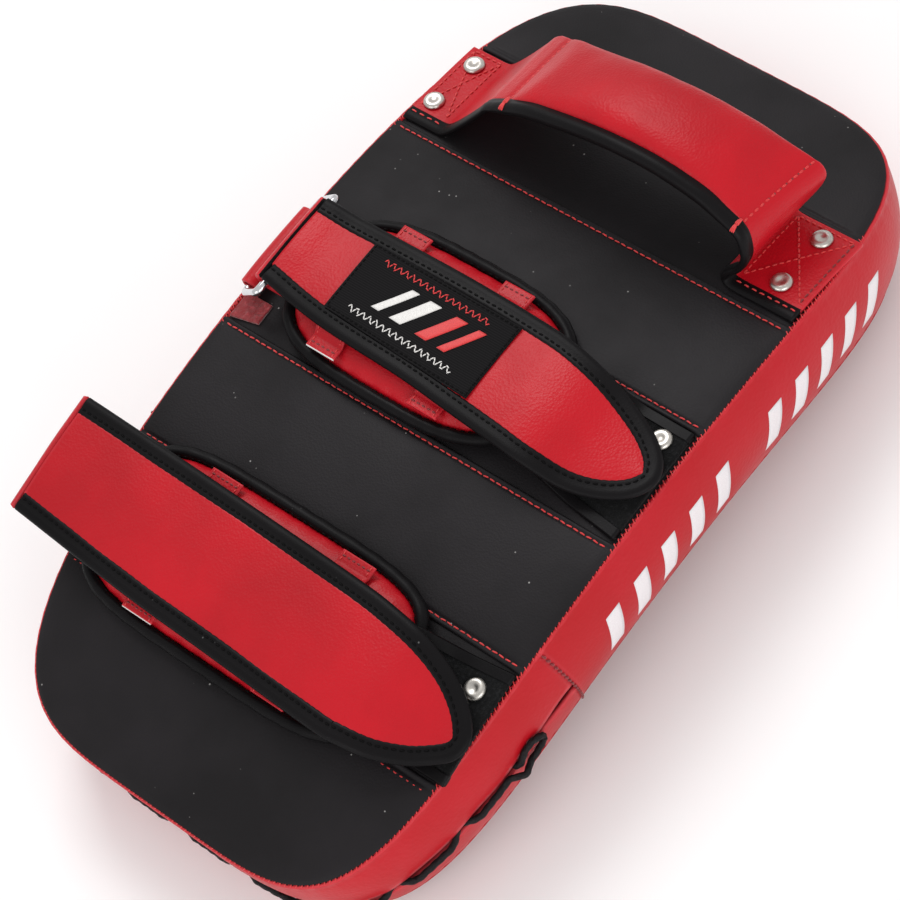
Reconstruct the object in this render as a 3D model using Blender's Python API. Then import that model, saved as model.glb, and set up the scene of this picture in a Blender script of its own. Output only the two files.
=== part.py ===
"""Thai pad: a curved kick pad with a padded carrying handle and two forearm cuffs.

The pad lies on its strike face. X runs across it, Y along it towards the handle end and Z up through
the thickness. Every soft sheet is drawn flat in pad coordinates and then laid on the curve of the pad:
x across, s along the back from the middle, h above the back surface.
"""
import math

import bmesh
import bpy
from mathutils import Vector

for old in list(bpy.data.objects):
    bpy.data.objects.remove(old, do_unlink=True)

MM = 0.001

# Pad body
HALF_LEN = 192.0
HALF_WID = 100.0
THICK = 50.0
ARC_R = 634.5
CORNER_POWER = 5.0
WALL_BULGE = 7.2
HANDLE_END_SKEW = -0.03
LEATHER = 1.5
PANEL_INSET = 2.1
LAND_CUT = 1.0
REST_ANGLE = HALF_LEN / ARC_R
ARC_Z = -(ARC_R - THICK) * math.cos(REST_ANGLE) - LAND_CUT
SHIFT_X = 5.1

# Seams of the back, as distances s along it
SEAM_HANDLE_TOP = 137.5
SEAM_HANDLE_LOW = 90.3
SEAM_UPPER_TOP = 34.0
SEAM_UPPER_LOW = -18.4
SEAM_LOWER_TOP = -77.0
SEAM_LOWER_LOW = -126.8
END_WALL_SEAM = -66.7
SLIT_H = -27.0
SLIT_GAP = 3.6
LACE_R = 1.3

# Straps
STRAP_T = 2.2
BIND_T = 3.0
BIND_UNDER = 1.2
BIND_W = 7.5
RING_WIRE = 1.8
RING_SQUARE = 12.0
RING_OUTER = (-94.8, 5.4)
RING_INNER = (-83.5, 14.9)
RING_S = (-8.2, 40.4)
RING_BAR_SAG = 0.16
CUSHION_LOW = 0.9
CUSHION_TOP = 9.6
PIPING_R = 2.6
RIVET_R = 4.6
RIVET_H = 1.8
HANDLE_FOOT_S = 117.0


def bend(x, s, h):
    """Pad coordinates in millimetres to the frame in metres."""
    a = s / ARC_R
    y = (ARC_R + h) * math.sin(a)
    z = ARC_Z + (ARC_R + h) * math.cos(a)
    return Vector(((x + SHIFT_X) * MM, y * MM, z * MM))


def make_material(name, colour, roughness, metallic=0.0):
    mat = bpy.data.materials.new(name)
    mat.use_nodes = True
    shader = mat.node_tree.nodes["Principled BSDF"]
    shader.inputs["Base Color"].default_value = (*colour, 1.0)
    shader.inputs["Roughness"].default_value = roughness
    shader.inputs["Metallic"].default_value = metallic
    mat.diffuse_color = (*colour, 1.0)
    return mat


RED_LEATHER = make_material("red_leather", (0.62, 0.02, 0.025), 0.42)
BLACK_LEATHER = make_material("black_leather", (0.022, 0.019, 0.021), 0.55)
BLACK_BINDING = make_material("black_binding", (0.018, 0.016, 0.018), 0.5)
RED_CLOTH = make_material("red_cloth", (0.35, 0.02, 0.025), 0.9)
LOOP_PILE = make_material("loop_pile", (0.012, 0.012, 0.012), 0.95)
FOAM_GREY = make_material("foam_grey", (0.32, 0.33, 0.35), 0.85)
FOAM_WHITE = make_material("foam_white", (0.8, 0.79, 0.76), 0.85)
NICKEL = make_material("nickel", (0.78, 0.76, 0.72), 0.22, 1.0)
CHROME = make_material("chrome", (0.86, 0.87, 0.88), 0.12, 1.0)
LABEL_CLOTH = make_material("label_cloth", (0.02, 0.02, 0.022), 0.8)
LACE_CORD = make_material("lace_cord", (0.015, 0.014, 0.015), 0.75)

pad = bpy.data.collections.new("thai_pad")
bpy.context.scene.collection.children.link(pad)


def finish_mesh(name, bm, mat, origin=None, smooth=False):
    """Close the mesh, put its origin on the joint it turns about and link it."""
    bmesh.ops.remove_doubles(bm, verts=bm.verts, dist=1e-7)
    bmesh.ops.recalc_face_normals(bm, faces=bm.faces)
    home = origin if origin is not None else Vector((0.0, 0.0, 0.0))
    for v in bm.verts:
        v.co -= home
    mesh = bpy.data.meshes.new(name)
    bm.to_mesh(mesh)
    bm.free()
    mesh.materials.append(mat)
    if smooth:
        for poly in mesh.polygons:
            poly.use_smooth = True
    obj = bpy.data.objects.new(name, mesh)
    obj.location = home
    pad.objects.link(obj)
    return obj


def cut_lines(bm, positions, axis):
    """Slice a flat face across, so that it can follow a curve."""
    normal = Vector((1.0, 0.0, 0.0)) if axis == 0 else Vector((0.0, 1.0, 0.0))
    for value in positions:
        geom = bm.verts[:] + bm.edges[:] + bm.faces[:]
        bmesh.ops.bisect_plane(bm, geom=geom, plane_co=normal * value, plane_no=normal, dist=1e-6)


def steps(low, high, pitch):
    count = max(1, int(round((high - low) / pitch)))
    return [low + (high - low) * i / count for i in range(count + 1)]


def plate(name, loop, low, high, mat, place, rows=(), columns=(), clip=None, hole=None, origin=None):
    """A sheet cut to an outline, given a thickness and laid where `place` puts it."""
    bm = bmesh.new()
    outer = [bm.verts.new((x, s, 0.0)) for x, s in loop]
    if hole is None:
        bm.faces.new(outer)
    else:
        inner = [bm.verts.new((x, s, 0.0)) for x, s in hole]
        rim = [bm.edges.new((outer[i], outer[i - 1])) for i in range(len(outer))]
        rim += [bm.edges.new((inner[i], inner[i - 1])) for i in range(len(inner))]
        bmesh.ops.bridge_loops(bm, edges=rim)
    if clip is not None:
        for value, side in ((clip[0], -1.0), (clip[1], 1.0)):
            geom = bm.verts[:] + bm.edges[:] + bm.faces[:]
            bmesh.ops.bisect_plane(bm, geom=geom, plane_co=(0.0, value, 0.0), plane_no=(0.0, side, 0.0),
                                   clear_outer=True, dist=1e-6)
    cut_lines(bm, rows, 1)
    cut_lines(bm, columns, 0)
    raised = bmesh.ops.extrude_face_region(bm, geom=bm.faces[:], use_keep_orig=True)
    top = {g for g in raised["geom"] if isinstance(g, bmesh.types.BMVert)}
    for v in bm.verts:
        level = high if v in top else low
        v.co = place(v.co.x, v.co.y, level)
    return finish_mesh(name, bm, mat, origin)


def oval(cx, cs, half_x, half_s, power, count):
    """A rounded rectangle as a superellipse."""
    points = []
    for i in range(count):
        a = 2.0 * math.pi * (i + 0.5) / count
        c = math.cos(a)
        d = math.sin(a)
        points.append((cx + half_x * math.copysign(abs(c) ** (2.0 / power), c),
                       cs + half_s * math.copysign(abs(d) ** (2.0 / power), d)))
    return points


def even(loop, count):
    """The same closed outline with evenly spaced points."""
    closed = loop + [loop[0]]
    run = [0.0]
    for a, b in zip(closed, closed[1:]):
        run.append(run[-1] + math.hypot(b[0] - a[0], b[1] - a[1]))
    points = []
    j = 0
    for i in range(count):
        want = run[-1] * i / count
        while run[j + 1] < want:
            j += 1
        k = (want - run[j]) / (run[j + 1] - run[j])
        points.append((closed[j][0] + (closed[j + 1][0] - closed[j][0]) * k,
                       closed[j][1] + (closed[j + 1][1] - closed[j][1]) * k))
    return points


def shrink(loop, amount):
    """The outline moved inwards, point for point. The loop runs anticlockwise."""
    points = []
    for i, point in enumerate(loop):
        ahead = loop[(i + 1) % len(loop)]
        back = loop[i - 1]
        tx = ahead[0] - back[0]
        ts = ahead[1] - back[1]
        size = math.hypot(tx, ts)
        points.append((point[0] - ts / size * amount, point[1] + tx / size * amount))
    return points


def body_width(s):
    """Half width of the back at s: the striking end is a little narrower than the handle end."""
    if s > 30.0:
        return HALF_WID
    return HALF_WID * (1.0 - 0.035 * ((30.0 - s) / 220.0) ** 2)


def body_outline(inset, count=80):
    """Plan of the pad, anticlockwise from the middle of its right side."""
    points = []
    for x, s in oval(0.0, 0.0, 1.0, HALF_LEN - inset, CORNER_POWER, 400):
        x *= body_width(s) - inset
        askew = HANDLE_END_SKEW * x * (max(0.0, s - 60.0) / (HALF_LEN - 60.0)) ** 2
        points.append((x, s + askew))
    return even(points, count)


# ---------------------------------------------------------------- foam core and strike face
ROWS = steps(-HALF_LEN + 7.0, HALF_LEN - 7.0, 12.0)
FOAM_INSET = 5.0
FOAM_LAYERS = (
    ("strike_foam", -48.2, -31.0, FOAM_WHITE),
    ("core_foam", -30.7, -14.3, FOAM_GREY),
    ("back_foam", -14.0, -3.4, FOAM_WHITE),
)
for layer, low, high, mat in FOAM_LAYERS:
    plate(layer, body_outline(FOAM_INSET, 48), low, high, mat, bend, rows=ROWS)

bm = bmesh.new()
bm.faces.new([bm.verts.new((x, s, 0.0)) for x, s in body_outline(0.0)])
cut_lines(bm, ROWS, 1)
raised = bmesh.ops.extrude_face_region(bm, geom=bm.faces[:], use_keep_orig=True)
top = {g for g in raised["geom"] if isinstance(g, bmesh.types.BMVert)}
for v in bm.verts:
    v.co = bend(v.co.x, v.co.y, -THICK + LEATHER if v in top else -THICK)
bmesh.ops.recalc_face_normals(bm, faces=bm.faces)
# The face of the pad is pressed flat where its two ends lie on the floor.
cut = bmesh.ops.bisect_plane(bm, geom=bm.verts[:] + bm.edges[:] + bm.faces[:], plane_co=(0.0, 0.0, 0.0),
                             plane_no=(0.0, 0.0, -1.0), clear_outer=True, dist=1e-8)
rim = [g for g in cut["geom_cut"] if isinstance(g, bmesh.types.BMEdge)]
bmesh.ops.edgeloop_fill(bm, edges=rim)
finish_mesh("strike_face_cover", bm, RED_LEATHER)

# ---------------------------------------------------------------- side walls


def wall_offset(h, s):
    """How far the padded wall stands out at height h: most along the sides, less at the two ends."""
    fullness = 1.0 - 0.4 * (s / HALF_LEN) ** 2
    return WALL_BULGE * fullness * math.sin(math.pi * min(1.0, max(0.0, -h / THICK))) ** 0.85


def wall(name, path, high, low, levels, mat):
    """A strip of wall along part of the outline, with outer and inner skin."""
    heights = [high + (low - high) * i / levels for i in range(levels + 1)]
    bm = bmesh.new()
    rings = []
    for x, s, nx, ns in path:
        section = [(wall_offset(h, s), h) for h in heights]
        section += [(o - LEATHER, h) for o, h in reversed(section)]
        rings.append([bm.verts.new(bend(x + nx * o, s + ns * o, h)) for o, h in section])
    count = 2 * len(heights)
    for a, b in zip(rings, rings[1:]):
        for i in range(count):
            j = (i + 1) % count
            bm.faces.new((a[i], b[i], b[j], a[j]))
    for ring in (rings[0], rings[-1]):
        for i in range(levels):
            bm.faces.new((ring[i], ring[i + 1], ring[count - 2 - i], ring[count - 1 - i]))
    return finish_mesh(name, bm, mat, smooth=True)


def wall_path(keep):
    """Points of the outline with their outward normals, for the part of the outline that `keep` takes."""
    loop = body_outline(0.0, 92)
    full = []
    for i, (x, s) in enumerate(loop):
        ahead = loop[(i + 1) % len(loop)]
        back = loop[i - 1]
        tx = ahead[0] - back[0]
        ts = ahead[1] - back[1]
        size = math.hypot(tx, ts)
        full.append((x, s, ts / size, -tx / size))
    start = next(i for i in range(len(full)) if keep(full[i][1]) and not keep(full[i - 1][1]))
    turned = full[start:] + full[:start]
    return [p for p in turned if keep(p[1])]


upper_run = wall_path(lambda s: s > END_WALL_SEAM + 2.0)
lower_run = wall_path(lambda s: s < END_WALL_SEAM - 2.0)
SEAM_X = 0.5 * (upper_run[0][0] + lower_run[-1][0])
right_seam = (SEAM_X, END_WALL_SEAM, 1.0, 0.0)
left_seam = (-SEAM_X, END_WALL_SEAM, -1.0, 0.0)
GAP = 0.2


def shifted(point, amount):
    return (point[0], point[1] + amount, point[2], point[3])


wall("side_wall", [shifted(right_seam, GAP)] + upper_run + [shifted(left_seam, GAP)],
     -0.3, -THICK + LEATHER + 0.3, 6, RED_LEATHER)
end_run = [shifted(left_seam, -GAP)] + lower_run + [shifted(right_seam, -GAP)]
wall("end_wall_back_half", end_run, -0.3, SLIT_H + SLIT_GAP / 2.0, 3, RED_LEATHER)
wall("end_wall_strike_half", end_run, SLIT_H - SLIT_GAP / 2.0, -THICK + LEATHER + 0.3, 3, RED_LEATHER)

# ---------------------------------------------------------------- lace that closes the end wall


def along_end_wall(distance, offset, rise):
    """A point on the end wall, measured from the right seam round to the left one."""
    points = list(reversed(end_run))
    run = 0.0
    for a, b in zip(points, points[1:]):
        step = math.hypot(b[0] - a[0], b[1] - a[1])
        if run + step >= distance:
            k = (distance - run) / step
            x, s, nx, ns = [p + (q - p) * k for p, q in zip(a, b)]
            o = wall_offset(SLIT_H + rise, s) + offset
            return bend(x + nx * o, s + ns * o, SLIT_H + rise)
        run += step
    raise ValueError("the lace is longer than the wall")


def cord(name, points, radius, mat, closed=False, origin=None, resolution=1):
    """A round cord along a route, as a closed mesh."""
    home = origin if origin is not None else Vector((0.0, 0.0, 0.0))
    curve = bpy.data.curves.new(name, "CURVE")
    curve.dimensions = "3D"
    curve.bevel_depth = radius * MM
    curve.bevel_resolution = resolution
    curve.use_fill_caps = True
    spline = curve.splines.new("POLY")
    spline.points.add(len(points) - 1)
    for knot, point in zip(spline.points, points):
        knot.co = (*(point - home), 1.0)
    spline.use_cyclic_u = closed
    shape = bpy.data.objects.new(name + "_route", curve)
    pad.objects.link(shape)
    bpy.context.view_layer.update()
    mesh = bpy.data.meshes.new_from_object(shape.evaluated_get(bpy.context.evaluated_depsgraph_get()))
    bpy.data.objects.remove(shape, do_unlink=True)
    bm = bmesh.new()
    bm.from_mesh(mesh)
    bpy.data.meshes.remove(mesh)
    bmesh.ops.remove_doubles(bm, verts=bm.verts, dist=1e-6)
    for v in bm.verts:
        v.co += home
    return finish_mesh(name, bm, mat, origin, smooth=True)


LACE_START = 40.0
LACE_PITCH = 33.0
LACE_RUNS = 9
OUTSIDE = LACE_R + 0.4
INSIDE = -LACE_R - LEATHER - 0.6
route = [(LACE_START - 4.0, INSIDE, 0.0), (LACE_START - 2.0, -0.6, 0.0), (LACE_START - 4.0, OUTSIDE, 1.2)]
route += [(LACE_START - 8.0, OUTSIDE, 4.0), (LACE_START - 13.0, OUTSIDE, 4.4),
          (LACE_START - 17.0, OUTSIDE, 1.6)]
route += [(LACE_START - 17.0, OUTSIDE, -1.8), (LACE_START - 13.0, OUTSIDE, -4.2)]
route += [(LACE_START - 7.0, OUTSIDE + 0.6, -3.8), (LACE_START - 2.0, OUTSIDE + 3.0, -1.6)]
for number in range(LACE_RUNS):
    base = LACE_START + number * LACE_PITCH
    if number:
        route.append((base - 1.5, -0.8, 0.0))
    for part in (3.0, 9.0, 15.0, 21.0):
        route.append((base + part, OUTSIDE, 0.0))
    route.append((base + 25.5, -0.8, 0.0))
    route.append((base + 28.5, INSIDE, 0.0))
cord("closing_lace", [along_end_wall(*p) for p in route], LACE_R, LACE_CORD, resolution=2)

# ---------------------------------------------------------------- back panels and the bands between them
PANELS = (
    ("back_panel_top", SEAM_HANDLE_TOP, HALF_LEN, 0.0, -1.4, BLACK_LEATHER),
    ("back_panel_upper", SEAM_UPPER_TOP, SEAM_HANDLE_LOW, 0.0, -1.4, BLACK_LEATHER),
    ("back_panel_middle", SEAM_LOWER_TOP, SEAM_UPPER_LOW, 0.0, -1.4, BLACK_LEATHER),
    ("back_panel_bottom", -HALF_LEN, SEAM_LOWER_LOW, 0.0, -1.4, BLACK_LEATHER),
    ("handle_band", SEAM_HANDLE_LOW - 8.0, SEAM_HANDLE_TOP + 8.0, -1.7, -3.0, BLACK_LEATHER),
    ("upper_cuff_band", SEAM_UPPER_LOW - 8.0, SEAM_UPPER_TOP + 8.0, -1.7, -3.0, BLACK_LEATHER),
    ("lower_cuff_band", SEAM_LOWER_LOW - 8.0, SEAM_LOWER_TOP + 8.0, -1.7, -3.0, BLACK_LEATHER),
)
for name, start, stop, high, low, mat in PANELS:
    inner_rows = [r for r in steps(start, stop, 10.0)[1:-1] if abs(r) < HALF_LEN - 5.0]
    plate(name, body_outline(PANEL_INSET), low, high, mat, bend, rows=inner_rows, clip=(start, stop))

# ---------------------------------------------------------------- sheets that follow a path across the pad


def spline(knots, pitch):
    """A smooth open path through the knots, as points about `pitch` apart."""
    points = []
    for i in range(len(knots) - 1):
        p0 = knots[max(i - 1, 0)]
        p1 = knots[i]
        p2 = knots[i + 1]
        p3 = knots[min(i + 2, len(knots) - 1)]
        length = math.hypot(p2[0] - p1[0], p2[1] - p1[1])
        count = max(1, int(round(length / pitch)))
        for j in range(count):
            t = j / count
            point = []
            for a, b, c, d in zip(p0, p1, p2, p3):
                point.append(0.5 * (2 * b + (c - a) * t + (2 * a - 5 * b + 4 * c - d) * t * t
                                    + (3 * b - a - 3 * c + d) * t ** 3))
            points.append(tuple(point))
    points.append(tuple(knots[-1]))
    return points


class Path:
    """A path in the x-h plane, read by the distance u along it."""

    def __init__(self, knots, pitch=1.0):
        self.points = spline(knots, pitch)
        self.run = [0.0]
        for a, b in zip(self.points, self.points[1:]):
            self.run.append(self.run[-1] + math.hypot(b[0] - a[0], b[1] - a[1]))
        self.length = self.run[-1]

    def at(self, u):
        """Point and upward normal at u."""
        u = min(max(u, 0.0), self.length)
        i = 0
        while i < len(self.run) - 2 and self.run[i + 1] < u:
            i += 1
        a = self.points[i]
        b = self.points[i + 1]
        k = (u - self.run[i]) / (self.run[i + 1] - self.run[i])
        before = self.points[max(i - 1, 0)]
        after = self.points[min(i + 2, len(self.points) - 1)]
        tx = after[0] - before[0]
        th = after[1] - before[1]
        size = math.hypot(tx, th)
        return (a[0] + (b[0] - a[0]) * k, a[1] + (b[1] - a[1]) * k), (-th / size, tx / size)

    def lay(self, u, s, t):
        (x, h), (nx, nh) = self.at(u)
        return bend(x + nx * t, s, h + nh * t)

    def reach(self, x):
        """Distance along the path at which it first gets to x."""
        for i, point in enumerate(self.points):
            if (point[0] - x) * (self.points[0][0] - x) <= 0.0:
                return self.run[i]
        return self.length


def arc_knots(centre, radius, start, stop, count):
    """Knots of a fold round a bar, angles in degrees in the x-h plane."""
    knots = []
    for i in range(count + 1):
        a = math.radians(start + (stop - start) * i / count)
        knots.append((centre[0] + radius * math.cos(a), centre[1] + radius * math.sin(a)))
    return knots


def flap_loop(edge, path):
    """A flap outline given in x and s, as distances along its path. It runs anticlockwise."""
    start = path.points[0][0]
    return [(x - start, s) for x, s in edge]


def rivet(name, x, s, h):
    """Domed cap of a tubular rivet."""
    bm = bmesh.new()
    bmesh.ops.create_uvsphere(bm, u_segments=16, v_segments=8, radius=1.0)
    bmesh.ops.bisect_plane(bm, geom=bm.verts[:] + bm.edges[:] + bm.faces[:], plane_co=(0.0, 0.0, 0.0),
                           plane_no=(0.0, 0.0, 1.0), clear_inner=True, dist=1e-6)
    rim = [e for e in bm.edges if e.is_boundary]
    bmesh.ops.edgeloop_fill(bm, edges=rim)
    for v in bm.verts:
        v.co = bend(x + v.co.x * RIVET_R, s + v.co.y * RIVET_R, h + v.co.z * RIVET_H)
    return finish_mesh(name, bm, NICKEL, smooth=True)


# ---------------------------------------------------------------- carrying handle
HANDLE_FAR = 136.8
HANDLE_NEAR = 97.8
HANDLE_BIND_NEAR = 91.2
LEFT_LEG = Path([(-93.8, -0.1), (-88.0, -0.1), (-80.0, 0.0), (-76.0, 1.8), (-70.0, 7.4), (-62.0, 15.8),
                 (-54.0, 24.6), (-47.3, 31.2)])
RIGHT_LEG = Path([(93.0, -0.1), (84.0, -0.1), (70.5, -0.1), (66.2, 1.2), (65.0, 3.9), (67.6, 7.0),
                  (72.0, 11.2), (75.2, 17.0), (75.8, 23.0), (73.2, 29.8)])
ROLL = Path([(-46.7, 31.8), (-30.0, 37.9), (-13.0, 42.0), (2.0, 44.7), (17.0, 46.2), (36.0, 45.9),
             (55.0, 41.8), (65.0, 36.8), (72.7, 30.6)], 2.0)
HANDLE_AXIS = bend(0.0, HANDLE_FOOT_S, 1.0)


def leg_lift(path, flip, u, s, t):
    """The leg keeps to the line of its tab near the wall and leans with the roll above."""
    (x, h), (nx, nh) = path.at(u)
    side = -1.0 if flip else 1.0
    lean = 3.0 * min(1.0, max(0.0, h / 30.0))
    return bend(x + nx * t * side, s + lean, h + nh * t * side)


for side, path, flip in (("left", LEFT_LEG, False), ("right", RIGHT_LEG, True)):
    cols = steps(0.0, path.length, 3.6)[1:-1]
    strap_edge = [(0.0, HANDLE_NEAR), (path.length, HANDLE_NEAR),
                  (path.length, HANDLE_FAR), (0.0, HANDLE_FAR)]
    bind_edge = [(0.0, HANDLE_BIND_NEAR), (path.length, HANDLE_BIND_NEAR + 5.5),
                 (path.length, HANDLE_NEAR - 0.3), (0.0, HANDLE_NEAR - 0.3)]

    def place_leg(u, s, t, path=path, flip=flip):
        return leg_lift(path, flip, u, s, t)

    plate("handle_strap_" + side, strap_edge, -1.1, 1.1, RED_LEATHER, place_leg,
          rows=steps(HANDLE_NEAR, HANDLE_FAR, 13.0)[1:-1], columns=cols)
    plate("handle_binding_" + side, bind_edge, -1.4, 1.6, BLACK_BINDING, place_leg, columns=cols)


def roll_shape(u):
    """Half width, rise above and depth below the edge piping along the padded roll."""
    v = min(max(u / ROLL.length, 0.0), 1.0)
    full = math.sin(math.pi * v) ** 0.65 if 0.0 < v < 1.0 else 0.0
    return 18.8 - 3.3 * full, 1.9 + 5.2 * full, 1.9 + 12.6 * full


def roll_half(name, sign, skin, mat, inner=0.0, ends=0.0, slices=18, facets=9):
    """Upper or lower skin of the roll, or its filling when the skin is zero."""
    bm = bmesh.new()
    rings = []
    for i in range(slices + 1):
        u = ends + (ROLL.length - 2.0 * ends) * i / slices
        half, rise, depth = roll_shape(u)
        (x, h), (nx, nh) = ROLL.at(u)
        middle = HANDLE_NEAR + 3.0 + half
        ring = []
        if skin > 0.0:
            tall = rise if sign > 0 else depth
            for shell, order in ((0.0, 1), (skin, -1)):
                for j in range(facets + 1)[::order]:
                    a = math.pi * j / facets
                    t = sign * (0.15 + max(tall - shell, 0.35) * math.sin(a) ** 0.8)
                    s = middle + (half - shell) * math.cos(a)
                    ring.append(bm.verts.new(bend(x + nx * t, s, h + nh * t)))
        else:
            for j in range(2 * facets):
                a = math.pi * j / facets
                tall = (rise if math.sin(a) > 0.0 else depth) - inner
                t = math.copysign(max(tall, 0.2) * abs(math.sin(a)) ** 0.8, math.sin(a))
                ring.append(bm.verts.new(bend(x + nx * t, middle + (half - inner) * math.cos(a), h + nh * t)))
        rings.append(ring)
    count = len(rings[0])
    for a, b in zip(rings, rings[1:]):
        for j in range(count):
            k = (j + 1) % count
            bm.faces.new((a[j], b[j], b[k], a[k]))
    for ring in (rings[0], rings[-1]):
        if skin > 0.0:
            for j in range(facets):
                bm.faces.new((ring[j], ring[j + 1], ring[count - 2 - j], ring[count - 1 - j]))
        else:
            bm.faces.new(ring)
    return finish_mesh(name, bm, mat, HANDLE_AXIS, smooth=True)


roll_half("handle_cover_top", 1, 1.1, RED_LEATHER)
roll_half("handle_cover_under", -1, 1.1, BLACK_LEATHER)
roll_half("handle_foam", 0, 0.0, FOAM_WHITE, inner=1.6, ends=9.0, slices=14)
for name, side in (("handle_piping_near", 1.0), ("handle_piping_far", -1.0)):
    knots = []
    for i in range(25):
        u = 2.0 + (ROLL.length - 4.0) * i / 24
        half = roll_shape(u)[0]
        x, h = ROLL.at(u)[0]
        middle = HANDLE_NEAR + 3.0 + half
        knots.append(bend(x, middle - side * (half + PIPING_R - 0.2), h - 0.5))
    cord(name, knots, PIPING_R - 0.5, BLACK_BINDING, origin=HANDLE_AXIS)

TAB_RIVETS = (("left", -90.2, 128.0), ("left", -91.4, 104.4), ("right", 84.0, 129.5), ("right", 84.0, 104.4))
for number, (side, x, s) in enumerate(TAB_RIVETS):
    end = "far" if number % 2 == 0 else "near"
    rivet("handle_rivet_%s_%s" % (side, end), x, s, 1.3)

# ---------------------------------------------------------------- forearm cuffs
UPPER_FLAP_EDGE = [(-83.5, -3.6), (-50.0, -7.6), (-8.0, -9.2), (15.0, -11.0), (40.0, -13.0), (55.0, -14.0),
                   (72.0, -13.2), (84.0, -10.0), (94.0, -4.5), (100.0, 2.0), (101.8, 9.0), (99.0, 16.0),
                   (92.0, 22.0), (82.0, 27.0), (68.0, 31.5), (50.0, 34.8), (30.0, 37.0), (-8.0, 38.2),
                   (-50.0, 38.0), (-83.5, 37.4)]
LOWER_FLAP_EDGE = [(-114.3, -127.0), (-55.0, -131.0), (-10.0, -132.5), (47.0, -134.4), (58.0, -134.0),
                   (72.0, -132.0), (84.0, -127.5), (92.0, -122.7), (99.0, -117.0), (101.3, -112.0),
                   (101.0, -106.0), (97.0, -100.0), (90.0, -94.0), (80.0, -88.5), (66.0, -84.0),
                   (50.0, -81.5), (30.0, -80.0), (-33.0, -78.0), (-88.0, -76.8), (-114.3, -76.4)]
UPPER_TIP = [(24.0, 15.7), (42.0, 15.9), (56.0, 14.0), (70.0, 9.4), (85.0, 6.4), (98.0, 4.9), (106.0, 4.6)]
LOWER_TIP = [(30.0, 15.7), (56.0, 15.7), (66.0, 14.3), (76.0, 10.6), (87.0, 7.0), (98.0, 5.1), (106.0, 4.6)]
UPPER_FLAP = Path([(-83.5, 18.4), (-78.0, 17.6), (-70.0, 16.3), (-60.0, 15.8), (-20.0, 15.7)] + UPPER_TIP)
LOWER_FLAP = Path([(-114.3, 17.8), (-106.0, 17.2), (-90.0, 16.2), (-70.0, 15.8), (-20.0, 15.7)] + LOWER_TIP)
CARRIER_RISE = [(97.0, -0.2), (84.0, -0.2), (73.5, 0.2), (66.0, 3.4), (58.0, 8.0), (50.0, 10.9), (42.0, 11.4)]
UPPER_CARRIER = Path(CARRIER_RISE + [(0.0, 11.4), (-40.0, 11.4), (-76.0, 11.4)]
                     + arc_knots(RING_INNER, 3.5, -90.0, -254.0, 8))
LOWER_RISE = [(93.0, -0.2), (87.0, -0.2), (80.0, 0.2), (74.0, 2.6), (68.0, 7.0), (62.5, 10.6), (56.0, 11.4)]
LOWER_CARRIER = Path(LOWER_RISE + [(0.0, 11.4), (-40.0, 11.4), (-66.0, 11.4)])
LOWER_FOLD = (-114.3, 14.2)
LOWER_ROOT = Path([(-92.5, 1.0), (-97.0, 1.7), (-103.0, 4.0), (-108.0, 7.8)]
                  + arc_knots(LOWER_FOLD, 3.6, -72.0, -254.0, 8))
UPPER_LIFT = bend(-18.5, 15.7, 0.0)
LOWER_LIFT = bend(-13.0, -104.0, 0.0)
# The ring's bar curves with the pad, so the straight line the flap turns on runs a little below its middle.
UPPER_PEEL = bend(RING_INNER[0], 17.0, RING_INNER[1] - RING_BAR_SAG)
LOWER_PEEL = bend(LOWER_FOLD[0], -101.5, LOWER_FOLD[1])


def open_frame(edge, width):
    """Outer and inner edge of a flap's bound border. The border runs out into the fold at the start."""
    longer = [(x - width if i in (0, len(edge) - 1) else x, s) for i, (x, s) in enumerate(edge)]
    loop = even(longer, 90)
    return [(max(x, 0.0), s) for x, s in loop], [(max(x, 0.6), s) for x, s in shrink(loop, width)]


def cuff_cushion(name, outline, keepers, carrier_s, lift):
    """Forearm cushion: filled body, welt round it and two keepers across the strap."""
    body = shrink(outline, 2.0 * PIPING_R + 0.4)
    plate(name + "_cushion", body, CUSHION_LOW, CUSHION_TOP, RED_LEATHER, bend,
          rows=steps(min(s for x, s in body), max(s for x, s in body), 12.0)[1:-1], origin=lift)
    mid = shrink(outline, PIPING_R)
    cord(name + "_cushion_piping", [bend(x, s, 4.6) for x, s in mid], PIPING_R, BLACK_BINDING, closed=True,
         origin=lift)
    low_s, high_s = carrier_s
    for side, (x0, x1) in zip(("left", "right"), keepers):
        inner_low = min(s for x, s in body if x0 - 6.0 < x < x1 + 6.0) + 1.5
        inner_high = max(s for x, s in body if x0 - 6.0 < x < x1 + 6.0) - 1.5

        def over(x, s, t):
            gap = max(low_s - 1.2 - s, s - high_s - 1.2, 0.0)
            rise = max(0.0, 1.0 - gap / 3.0)
            return bend(x, s, CUSHION_TOP + 0.3 + 2.9 * rise * rise * (3.0 - 2.0 * rise) + t)

        loop = [(x0, inner_low), (x1, inner_low), (x1, inner_high), (x0, inner_high)]
        rows = [low_s - 4.2, low_s - 2.7, low_s - 1.2, high_s + 1.2, high_s + 2.7, high_s + 4.2]
        rows += steps(low_s, high_s, 12.0)[1:-1]
        rows = [r for r in rows if inner_low + 0.3 < r < inner_high - 0.3]
        plate(name + "_keeper_" + side, loop, 0.0, 0.9, RED_LEATHER, over, rows=rows, origin=lift)


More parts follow.
